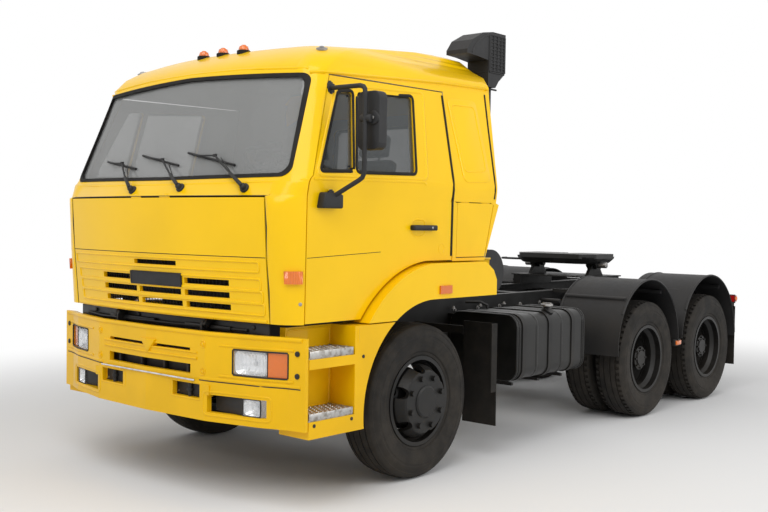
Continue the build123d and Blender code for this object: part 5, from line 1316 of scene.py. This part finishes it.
class TRUCK_OT_wipers(bpy.types.Operator):
    """Wipers with hubs, sprung arms, yokes and blades, in place of the plain ones"""
    bl_idname = "truck.wipers"
    bl_label = "Wipers"

    def execute(self, context):
        black, = meshes("black")
        skin = Skin("cab_shell", "cab_glass", "window_seals")
        for px, pz, ax, az, x0, z0, x1, z1 in WIPERS:
            hub, normal = skin.at(FRONT, px, pz)
            knob(black, hub, normal, 0.030, 0.014, 20)
            knob(black, hub + normal * 0.014, normal, 0.020, 0.024, 16, dome=0.2)
            start = hub + normal * 0.034
            glass, out = skin.at(FRONT, ax, az)
            end = glass + out * 0.036
            knee = start.lerp(end, 0.38) + out * 0.012
            bar(black, start, knee, 0.013, 12, 0.010, 0.002)
            pipe(black, [knee, start.lerp(end, 0.70) + out * 0.008, end], 0.0060, 8)
            hose = [start.lerp(end, 0.12) + Vector((0, 0, -0.014)), end + Vector((0.055, 0.004, -0.016))]
            pipe(black, hose, 0.0032, 6)
            ends = []
            for x, z in ((x0, z0), (x1, z1)):
                spot, out = skin.at(FRONT, x, z)
                ends.append(spot + out * 0.012)
            first, last = ends
            rubber = []
            for i in range(RUBBER_PLACES):
                spot, out = skin.at(FRONT, *first.lerp(last, i / (RUBBER_PLACES - 1)).xz)
                rubber.append((spot + out * 0.010, out))
            bead(black, rubber, sizes().blade_width, 0.009, sides=6)
            for a, b in ((0.14, 0.42), (0.58, 0.86)):
                pivot = first.lerp(last, (a + b) / 2) + out * 0.018
                for share in (a, b):
                    pipe(black, [pivot, first.lerp(last, share) + out * 0.006], 0.0042, 6)
                pipe(black, [end, pivot], 0.0052, 6)
            slab(black, end - Vector((0.014, 0.008, 0.010)), end + Vector((0.014, 0.008, 0.010)), 0.003)
        piece = keep("wiper_arms", black, "cab", "black_plastic", smooth=50.0)
        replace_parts(piece, "wipers")
        return {"FINISHED"}


class TRUCK_OT_intake(bpy.types.Operator):
    """Cell grille, seams, clamps and ribs of the air intake"""
    bl_idname = "truck.intake"
    bl_label = "Air intake"

    def execute(self, context):
        black, dark, metal = meshes("black", "dark", "metal")
        skin = Skin("air_intake")
        for view, face in ((LEFT, 1.008), (RIGHT, 0.820)):
            out = 1 if view is LEFT else -1
            for i in range(5):
                y = 0.925 + i * 0.0475
                bar(black, (face + 0.004 * out, y, 2.858), (face + 0.004 * out, y, 3.124), 0.0055, 6)
            for i in range(11):
                z = 2.862 + i * 0.0262
                bar(black, (face + 0.004 * out, 0.922, z), (face + 0.004 * out, 1.118, z), 0.0045, 6)
            slab(dark, (face - 0.0005 * out, 0.925, 2.860), (face + 0.0015 * out, 1.116, 3.122))
            rim = eased([(0.915, 2.850), (1.124, 2.850), (1.124, 3.130), (0.915, 3.128)], 0.015)
            rim = [(min(max(y, 0.914), 1.106), min(z, 3.128)) for y, z in rim]
            bead(black, skin.along(view, rim, 0.05, closed=True), 0.012, 0.007, closed=True)
        for i in range(4):
            bar(black, (0.845 + i * 0.046, 1.124, 2.862), (0.845 + i * 0.046, 1.124, 3.124), 0.0055, 6)
        for i in range(11):
            bar(black, (0.828, 1.124, 2.862 + i * 0.0262), (1.000, 1.124, 2.862 + i * 0.0262), 0.0045, 6)
        for x in (0.822, 1.006):
            crest = [(x, 0.700, 2.968), (x, 0.725, 3.008), (x, 0.777, 3.060), (x, 0.850, 3.103),
                     (x, 0.935, 3.127), (x, 1.035, 3.133), (x, 1.118, 3.121)]
            pipe(black, crest, 0.009, 8)
        for z, x0, x1, y0, y1 in ((2.728, 0.884, 0.989, 0.925, 1.040), (2.850, 0.838, 1.004, 0.908, 1.116)):
            pipe(black, [(x0, y0, z), (x1, y0, z), (x1, y1, z)], 0.007, 8)
        for z in (2.58, 2.20, 1.80, 1.58):
            slab(metal, (0.764, 0.874, z - 0.012), (0.886, 1.006, z + 0.012), 0.003)
        for i in range(8):
            z = 1.60 + i * 0.022
            slab(black, (0.760, 0.870, z), (0.890, 1.010, z + 0.010), 0.004)
        keep("intake_grille", black, "cab", "black_plastic", smooth=40.0)
        keep("intake_dark", dark, "cab", "black_rubber", smooth=0.0)
        keep("intake_clamps", metal, "cab", "dull_metal", smooth=40.0)
        return {"FINISHED"}


# ---- Chassis ----
GUARDS = (
    # y, z, radius, inner x
    (3.142, 0.590, 0.655, 0.600),
    (4.440, 0.634, 0.612, 0.670),
)
GUARD_OUTER = 1.235


class TRUCK_OT_chassis(bpy.types.Operator):
    """Tank rims and cap, guard beads and seams, pipes, bolts, markers and tail lamps"""
    bl_idname = "truck.chassis"
    bl_label = "Chassis fittings"

    def execute(self, context):
        black, metal, orange, tank, guard, red = meshes("black", "metal", "orange", "tank", "guard", "red")
        self.tank(tank, metal, black)
        self.guards(guard, black, orange)
        for s in (-1, 1):
            for y in (1.30, 1.62, 1.94, 2.26, 2.58, 3.50, 3.80, 4.10, 4.90):
                for z in (0.86, 1.02):
                    hexed(metal, Vector((0.438 * s, y, z)), Vector((s, 0, 0)), 0.013, 0.012, washer=0.018)
            pipe(black, [(0.36 * s, 0.90, 1.150), (0.40 * s, 1.40, 1.105), (0.41 * s, 2.60, 1.100),
                         (0.40 * s, 3.25, 1.090)], 0.012, 8)
            pipe(black, [(0.33 * s, 0.95, 1.180), (0.37 * s, 1.45, 1.115), (0.375 * s, 2.55, 1.108),
                         (0.33 * s, 2.75, 1.06)], 0.009, 8)
            knob(orange, Vector((1.17 * s, 5.205, 0.975)), Vector((0, 1, 0)), 0.034, 0.014, 20, dome=0.25)
            knob(orange, Vector((1.208 * s, 5.176, 0.978)), Vector((s, 0, 0)), 0.026, 0.016, 20, dome=0.25)
            knob(red, Vector((1.10 * s, 5.164, 0.640)), Vector((0, 1, 0)), 0.030, 0.014, 20, dome=0.25)
            slab(black, (0.86 * s, 5.150, 0.930), (1.215 * s, 5.164, 1.020), 0.004)
        keep("frame_pipes", black, "chassis", "black_plastic", smooth=45.0)
        keep("frame_bolts", metal, "chassis", "dull_metal", smooth=40.0)
        keep("side_markers", orange, "chassis", "lamp_orange", smooth=45.0)
        keep("rear_reflectors", red, "chassis", "lamp_red", smooth=45.0)
        keep("tank_rims", tank, "chassis", "tank_black", smooth=50.0)
        keep("guard_beads", guard, "chassis", "black_plastic", smooth=50.0)
        self.coupling()
        self.panels()
        return {"FINISHED"}

    def tank(self, bm, metal, black):
        """Rims and straps round the tank, its cap, its pipe and the bolts of its brackets."""
        skin = Skin("fuel_tank")
        for y, width, height in ((1.152, 0.024, 0.007), (1.180, 0.016, 0.007), (2.110, 0.016, 0.007),
                                 (2.138, 0.024, 0.007), (1.425, 0.040, 0.004), (1.790, 0.040, 0.004)):
            places = skin.around(Vector((0.834, y, 0.780)), Vector((1, 0, 0)), Vector((0, 0, 1)), 56)
            bead(bm, places, width, height, closed=True)
        spot = Vector((1.066, 1.690, 1.078))
        knob(metal, spot, Vector((0, 0, 1)), 0.050, 0.014, 24, dome=0.15)
        slab(metal, spot + Vector((-0.040, -0.008, 0.010)), spot + Vector((0.040, 0.008, 0.022)), 0.003)
        hose = [(0.62, 1.50, 1.030), (0.62, 1.50, 1.060), (0.58, 1.46, 1.085), (0.46, 1.42, 1.080)]
        pipe(black, hose, 0.011, 8)
        for y in (1.240, 1.610, 1.960):
            hexed(metal, Vector((0.470, y, 1.040)), Vector((0, 0, 1)), 0.012, 0.014, washer=0.018)

    def guards(self, bm, black, orange):
        """Rims and pressings of the mudguards, their stays and the markers between them."""
        skin = Skin("mudguards")
        for y, z, radius, inner in GUARDS:
            for s in (-1, 1):
                for x, width in ((1.240, 0.026), (inner + 0.012, 0.020)):
                    hub = Vector((x * s, y, z))
                    ring = skin.around(hub, Vector((0, 1, 0)), Vector((0, 0, 1)), 120, radius)
                    bead(bm, ring, width, 0.008)
                for share in (0.30, 0.72):
                    spot = Vector((inner * s, y + radius * cos(pi * share), z + radius * sin(pi * share)))
                    out = Vector((0, cos(pi * share), sin(pi * share)))
                    ends = [spot + Vector(((0.02 + 0.2 * i) * s, 0, 0)) for i in range(4)]
                    bead(bm, [(end, out) for end in ends if abs(end.x) < GUARD_OUTER], 0.030, 0.006)
        for s in (-1, 1):
            for y, z, end in ((2.600, 1.040, 0.640), (3.860, 1.140, 0.700), (5.040, 0.900, 0.700)):
                bar(black, (0.450 * s, y, z), (end * s, y, z), 0.020, 14, bevel=0.003)
            slab(orange, (1.236 * s, 3.700, 0.610), (1.248 * s, 3.800, 0.650), 0.003)
            slab(black, (1.205 * s, 3.690, 0.600), (1.237 * s, 3.810, 0.660), 0.004)
            bar(black, (0.450 * s, 3.750, 0.630), (1.210 * s, 3.750, 0.630), 0.016, 12)

    def coupling(self):
        """Pins and bolts of the coupling, its release handle, and the rim and ribs under its plate."""
        black, metal = meshes("black", "metal")
        for s in (-1, 1):
            bar(metal, (0.345 * s, 3.750, 1.330), (0.470 * s, 3.750, 1.330), 0.030, 18, bevel=0.004)
            for y in (3.52, 3.64, 3.86, 3.98):
                hexed(metal, Vector((0.405 * s, y, 1.134)), Vector((0, 0, 1)), 0.014, 0.014, washer=0.020)
        keep("coupling_pins", metal, "chassis", "dull_metal", smooth=40.0)
        pipe(black, [(-0.20, 3.560, 1.372), (-0.40, 3.555, 1.372), (-0.60, 3.555, 1.372),
                     (-0.66, 3.580, 1.372), (-0.66, 3.660, 1.372)], 0.011, 8)
        self.rim(black)
        for x in (-0.24, 0.0, 0.24):
            slab(black, (x - 0.012, 3.480, 1.362), (x + 0.012, 3.700, 1.392), 0.004)
        keep("coupling_release", black, "fifth_wheel", "plate_grey", smooth=40.0)

    def rim(self, bm):
        """Deep rim under the coupling plate, drawn in towards its foot, open where the pin slides in."""
        top = [(-0.440, 3.560), (-0.400, 3.470), (-0.320, 3.440), (0.320, 3.440), (0.400, 3.470),
               (0.440, 3.560), (0.440, 3.960), (0.330, 4.100), (0.150, 4.130), (0.080, 3.900),
               (-0.080, 3.900), (-0.150, 4.130), (-0.330, 4.100), (-0.440, 3.960)]
        middle = Vector((0.0, 3.760))
        rings = []
        for z, share in ((1.412, 1.0), (1.392, 0.99), (1.352, 0.90), (1.342, 0.86)):
            rings.append(outlined(bm, [(*(middle + (Vector(p) - middle) * share), z) for p in top]))
        joined(bm, rings)

    def panels(self):
        """The panel with its rail, cable and plugs over the bumper."""
        dark, = meshes("dark")
        slab(dark, (-0.98, -1.235, 1.000), (0.98, -1.222, 1.110), 0.004)
        slab(dark, (-0.60, -1.262, 1.046), (-0.10, -1.236, 1.072), 0.006)
        slab(dark, (0.22, -1.262, 1.046), (0.66, -1.236, 1.072), 0.006)
        cable = [(-0.88, -1.240, 1.060), (-0.70, -1.256, 1.048), (0.10, -1.258, 1.052), (0.80, -1.240, 1.060)]
        pipe(dark, cable, 0.010, 8)
        for x in (-0.80, -0.30, 0.40, 0.85):
            knob(dark, Vector((x, -1.236, 1.082)), Vector((0, -1, 0)), 0.014, 0.010, 12, dome=0.2)
        keep("front_bay_panel", dark, "chassis", "plate_grey", smooth=40.0)


# ---- Interior ----
SEAT_X = 0.56
SETTLE_FRAMES = 20
PADS = (
    # name, size, middle from the seat's own place, lean in degrees
    ("cushion", (0.46, 0.47, 0.105), (0.0, -0.230, 1.668), -3.0),
    ("back", (0.44, 0.105, 0.44), (0.0, 0.090, 1.945), -9.5),
    ("headrest", (0.25, 0.080, 0.155), (0.0, 0.158, 2.262), -9.5),
)


class TRUCK_OT_seats(bpy.types.Operator):
    """Filled cushions, backs and headrests on their bases, in place of the plain seats"""
    bl_idname = "truck.seats"
    bl_label = "Seats"

    def execute(self, context):
        base, = meshes("base")
        for _, s in SIDES:
            x = SEAT_X * s
            slab(base, (x - 0.15, -0.38, 1.272), (x + 0.15, -0.08, 1.59), 0.012)
            slab(base, (x - 0.21, -0.45, 1.585), (x + 0.21, -0.01, 1.614), 0.008)
            for low in (1.33, 1.38, 1.43, 1.48):
                slab(base, (x - 0.158, -0.388, low), (x + 0.158, -0.072, low + 0.026), 0.010)
            for across in (-0.205, 0.205):
                bar(base, (x + across, -0.02, 1.62), (x + across, 0.03, 1.74), 0.016, 12, bevel=0.003)
            for across in (-0.06, 0.06):
                bar(base, (x + across, 0.126, 2.13), (x + across, 0.152, 2.24), 0.007, 10)
        frames = keep("seat_frames", base, "cab", "dash_plastic", smooth=40.0)
        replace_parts(frames, "seats")
        for side, s in SIDES:
            for name, size, middle, lean in PADS:
                spot = Vector(middle) + Vector((SEAT_X * s, 0.0, 0.0))
                self.pad(f"seat_{name}_{side}", Vector(size), spot, radians(lean))
        return {"FINISHED"}

    def pad(self, name, size, spot, lean):
        """A filled pad: a rounded block, swelled by air pressure, then piped round its seam."""
        bm, = meshes(name)
        slab(bm, -size / 2, size / 2, min(size) * 0.30, 4)
        bmesh.ops.rotate(bm, verts=bm.verts, cent=(0, 0, 0), matrix=Matrix.Rotation(lean, 3, "X"))
        bmesh.ops.translate(bm, verts=bm.verts, vec=spot)
        piece = keep(name, bm, "cab", "seat_cloth", smooth=0.0)
        self.swell(piece, 0.012)
        self.piping(piece, size, spot + FRONT_AXLE, lean)
        piece.data.shade_smooth()
        piece.data.set_sharp_from_angle(angle=radians(70.0))

    def swell(self, piece, cap):
        """Fills the pad with the cloth solver and keeps each point within a cap of its start."""
        scene = bpy.context.scene
        bpy.context.view_layer.objects.active = piece
        remesh = piece.modifiers.new("remesh", "REMESH")
        remesh.mode = "VOXEL"
        remesh.voxel_size = 0.006
        bpy.ops.object.modifier_apply(modifier=remesh.name)
        start = [v.co.copy() for v in piece.data.vertices]
        cloth = piece.modifiers.new("cloth", "CLOTH")
        cloth.settings.use_pressure = True
        cloth.settings.uniform_pressure_force = 4.0
        cloth.settings.effector_weights.gravity = 0.0
        cloth.settings.quality = 4
        cloth.point_cache.frame_start = 1
        cloth.point_cache.frame_end = SETTLE_FRAMES
        for step in range(1, SETTLE_FRAMES + 1):
            scene.frame_set(step)
        bpy.ops.object.modifier_apply(modifier=cloth.name)
        for v, before in zip(piece.data.vertices, start):
            move = v.co - before
            if move.length > cap:
                v.co = before + move.normalized() * cap
        scene.frame_set(1)
        smoother = piece.modifiers.new("subdivision", "SUBSURF")
        smoother.levels = smoother.render_levels = 1
        bpy.ops.object.modifier_apply(modifier=smoother.name)

    def piping(self, piece, size, spot, lean):
        """A sewn bead round the pad's edge."""
        bm = bmesh.new()
        bm.from_mesh(piece.data)
        tree = BVHTree.FromBMesh(bm)
        turn = Matrix.Translation(spot) @ Matrix.Rotation(lean, 4, "X")
        thin = min(range(3), key=lambda i: size[i])
        across, up = [i for i in range(3) if i != thin]
        places = []
        for a, b in eased(rectangle(-0.5, 0.5, -0.5, 0.5), 0.12):
            point = Vector((0.0, 0.0, 0.0))
            point[across], point[up] = a * size[across] * 1.3, b * size[up] * 1.3
            point = turn @ point
            hit, normal, *_ = tree.ray_cast(point, (spot - point).normalized())
            if hit is not None:
                places.append((hit, normal))
        bead(bm, places, 0.009, 0.005, closed=True)
        bm.to_mesh(piece.data)
        bm.free()


class TRUCK_OT_dash(bpy.types.Operator):
    """Instruments, vents, switches and a glove lid on the dash"""
    bl_idname = "truck.dash"
    bl_label = "Dash"

    def execute(self, context):
        black, metal = meshes("black", "metal")
        skin = Skin("dashboard")
        for x, z, radius in ((0.45, 1.885, 0.045), (0.56, 1.890, 0.030), (0.67, 1.885, 0.045)):
            spot, normal = skin.at(REAR, x, z)
            knob(metal, spot, normal, radius, 0.012, 24)
            knob(black, spot + normal * 0.010, normal, radius * 0.84, 0.006, 24)
        for x in (-0.80, -0.28, 0.12, 0.92):
            for index in range(4):
                z = 1.865 + index * 0.014
                spot, _ = skin.at(REAR, x, z)
                low, high = spot + Vector((-0.06, -0.004, -0.003)), spot + Vector((0.06, 0.010, 0.003))
                slab(black, low, high, 0.001, 1)
        for index in range(6):
            spot, _ = skin.at(REAR, 0.22 + index * 0.026, 1.790)
            slab(black, spot + Vector((-0.010, -0.004, -0.014)), spot + Vector((0.010, 0.012, 0.014)), 0.002)
        glove = eased(rectangle(-0.86, -0.34, 1.745, 1.832), 0.02)
        bead(black, skin.along(REAR, glove, 0.06, closed=True), 0.006, 0.003, closed=True)
        keep("dash_details", black, "cab", "black_plastic", smooth=40.0)
        keep("gauge_rims", metal, "cab", "dull_metal", smooth=45.0)
        return {"FINISHED"}


# ---- Carried-over nodes, stage and panel ----
class TRUCK_OT_finishes(bpy.types.Operator):
    """Gives every carried-over node its finish"""
    bl_idname = "truck.finishes"
    bl_label = "Finishes"

    def execute(self, context):
        named = {node: key for key, nodes in CAD_FINISHES.items() for node in nodes}
        missing = sorted(set(NODES) - set(named))
        if missing:
            raise RuntimeError(f"no finish is named for {missing}")
        for node, key in named.items():
            slots = NODES[node].data.materials
            slots.clear()
            slots.append(finish(key))
        return {"FINISHED"}


CAMERA_SPOT = (5.401, -7.189, 1.718)


class TRUCK_OT_stage(bpy.types.Operator):
    """Pale floor, soft lights and the camera"""
    bl_idname = "truck.stage"
    bl_label = "Stage"

    def execute(self, context):
        scene = context.scene
        stage = scene.truck_stage
        scene.view_settings.view_transform = "Standard"
        self.floor(scene, stage)
        self.sky(scene, stage)
        for name, spot, aim, size, share in (("key_light", (3.0, -7.5, 8.5), (0.2, -0.6, 1.2), 7.0, 1.0),
                                             ("side_light", (9.0, 1.5, 5.0), (0.6, 0.6, 1.2), 6.0, 0.55)):
            lamp = bpy.data.lights.new(name, "AREA")
            lamp.size = size
            lamp.energy = stage.key * share
            holder = bpy.data.objects.new(name, lamp)
            holder.location = spot
            holder.rotation_euler = (Vector(aim) - Vector(spot)).to_track_quat("-Z", "Y").to_euler()
            scene.collection.objects.link(holder)
        self.camera(scene, stage)
        return {"FINISHED"}

    def floor(self, scene, stage):
        """A pale floor that melts into the background far off."""
        bm = bmesh.new()
        bmesh.ops.create_circle(bm, cap_ends=True, segments=96, radius=60.0)
        mesh = bpy.data.meshes.new("floor")
        bm.to_mesh(mesh)
        bm.free()
        f = Finish("pale_floor", tuple(stage.floor), 0.9, Specular_IOR_Level=0.1)
        tree = f.tree
        glow = tree.nodes.new("ShaderNodeEmission")
        glow.inputs["Color"].default_value = (1.0, 1.0, 1.0, 1.0)
        blend = tree.nodes.new("ShaderNodeMixShader")
        place = f.place((0.30, 0.24, 1.0))
        far = f.node("ShaderNodeVectorMath", {"operation": "LENGTH"}, place, out=1).step(1.0, 2.1)
        f.feed(blend.inputs[0], far)
        tree.links.new(f.shader.outputs[0], blend.inputs[1])
        tree.links.new(glow.outputs[0], blend.inputs[2])
        tree.links.new(blend.outputs[0], tree.nodes["Material Output"].inputs["Surface"])
        mesh.materials.append(f.material)
        floor = bpy.data.objects.new("floor", mesh)
        scene.collection.objects.link(floor)

    def sky(self, scene, stage):
        """White as it is seen, dimmer as it lights."""
        world = bpy.data.worlds.new("sky")
        scene.world = world
        world.use_nodes = True
        tree = world.node_tree
        sky = tree.nodes["Background"]
        sky.inputs["Color"].default_value = (1.0, 1.0, 1.0, 1.0)
        sky.inputs["Strength"].default_value = stage.sky
        white = tree.nodes.new("ShaderNodeBackground")
        white.inputs["Color"].default_value = (1.0, 1.0, 1.0, 1.0)
        rays = tree.nodes.new("ShaderNodeLightPath")
        first, seen = (tree.nodes.new("ShaderNodeMath") for _ in range(2))
        first.operation = seen.operation = "MAXIMUM"
        tree.links.new(rays.outputs["Is Camera Ray"], first.inputs[0])
        tree.links.new(rays.outputs["Is Transmission Ray"], first.inputs[1])
        tree.links.new(first.outputs[0], seen.inputs[0])
        tree.links.new(rays.outputs["Is Glossy Ray"], seen.inputs[1])
        blend = tree.nodes.new("ShaderNodeMixShader")
        tree.links.new(seen.outputs[0], blend.inputs[0])
        tree.links.new(sky.outputs[0], blend.inputs[1])
        tree.links.new(white.outputs[0], blend.inputs[2])
        tree.links.new(blend.outputs[0], tree.nodes["World Output"].inputs["Surface"])

    def camera(self, scene, stage):
        """Stands at the left front corner at head height, turned, dipped and rolled a little."""
        turn, dip, roll = radians(-40.95), radians(1.86), radians(0.83)
        ahead = Vector((cos(dip) * sin(turn), cos(dip) * cos(turn), -sin(dip)))
        right = Vector((cos(turn), -sin(turn), 0.0))
        up = right.cross(ahead)
        right, up = cos(roll) * right + sin(roll) * up, cos(roll) * up - sin(roll) * right
        lens = bpy.data.cameras.new("camera")
        lens.sensor_width = 36.0
        lens.lens = stage.lens
        lens.clip_end = 200.0
        camera = bpy.data.objects.new("camera", lens)
        turned_to = Matrix((right, up, -ahead)).transposed().to_4x4()
        camera.matrix_world = Matrix.Translation(CAMERA_SPOT) @ turned_to
        scene.collection.objects.link(camera)
        scene.camera = camera


class TRUCK_PT_panel(bpy.types.Panel):
    """Lists the truck's settings and pieces"""
    bl_idname = "TRUCK_PT_panel"
    bl_label = "Tractor unit"
    bl_space_type = "VIEW_3D"
    bl_region_type = "UI"
    bl_category = "Truck"

    def draw(self, context):
        scene = context.scene
        for group in (scene.truck_colours, scene.truck_sizes, scene.truck_stage):
            box = self.layout.box()
            for name in group.bl_rna.properties.keys():
                if name not in {"rna_type", "name"}:
                    box.prop(group, name)
        column = self.layout.column(align=True)
        for operator in OPERATORS:
            column.operator(operator.bl_idname)


GROUPS = (("truck_colours", TruckColours), ("truck_sizes", TruckSizes), ("truck_stage", TruckStage))
OPERATORS = (TRUCK_OT_finishes, TRUCK_OT_tyres, TRUCK_OT_cab, TRUCK_OT_cab_trim, TRUCK_OT_doors, TRUCK_OT_lid,
             TRUCK_OT_bumper, TRUCK_OT_lamps, TRUCK_OT_steps, TRUCK_OT_wipers, TRUCK_OT_intake,
             TRUCK_OT_chassis, TRUCK_OT_seats, TRUCK_OT_dash, TRUCK_OT_stage)


def register():
    for name, group in GROUPS:
        bpy.utils.register_class(group)
        setattr(bpy.types.Scene, name, bpy.props.PointerProperty(type=group))
    for made in (*OPERATORS, TRUCK_PT_panel):
        bpy.utils.register_class(made)


def unregister():
    for made in (TRUCK_PT_panel, *reversed(OPERATORS)):
        bpy.utils.unregister_class(made)
    for name, group in reversed(GROUPS):
        delattr(bpy.types.Scene, name)
        bpy.utils.unregister_class(group)


def main():
    register()
    for operator in OPERATORS:
        family, verb = operator.bl_idname.split(".")
        getattr(getattr(bpy.ops, family), verb)()
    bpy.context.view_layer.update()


if __name__ == "__main__":
    main()
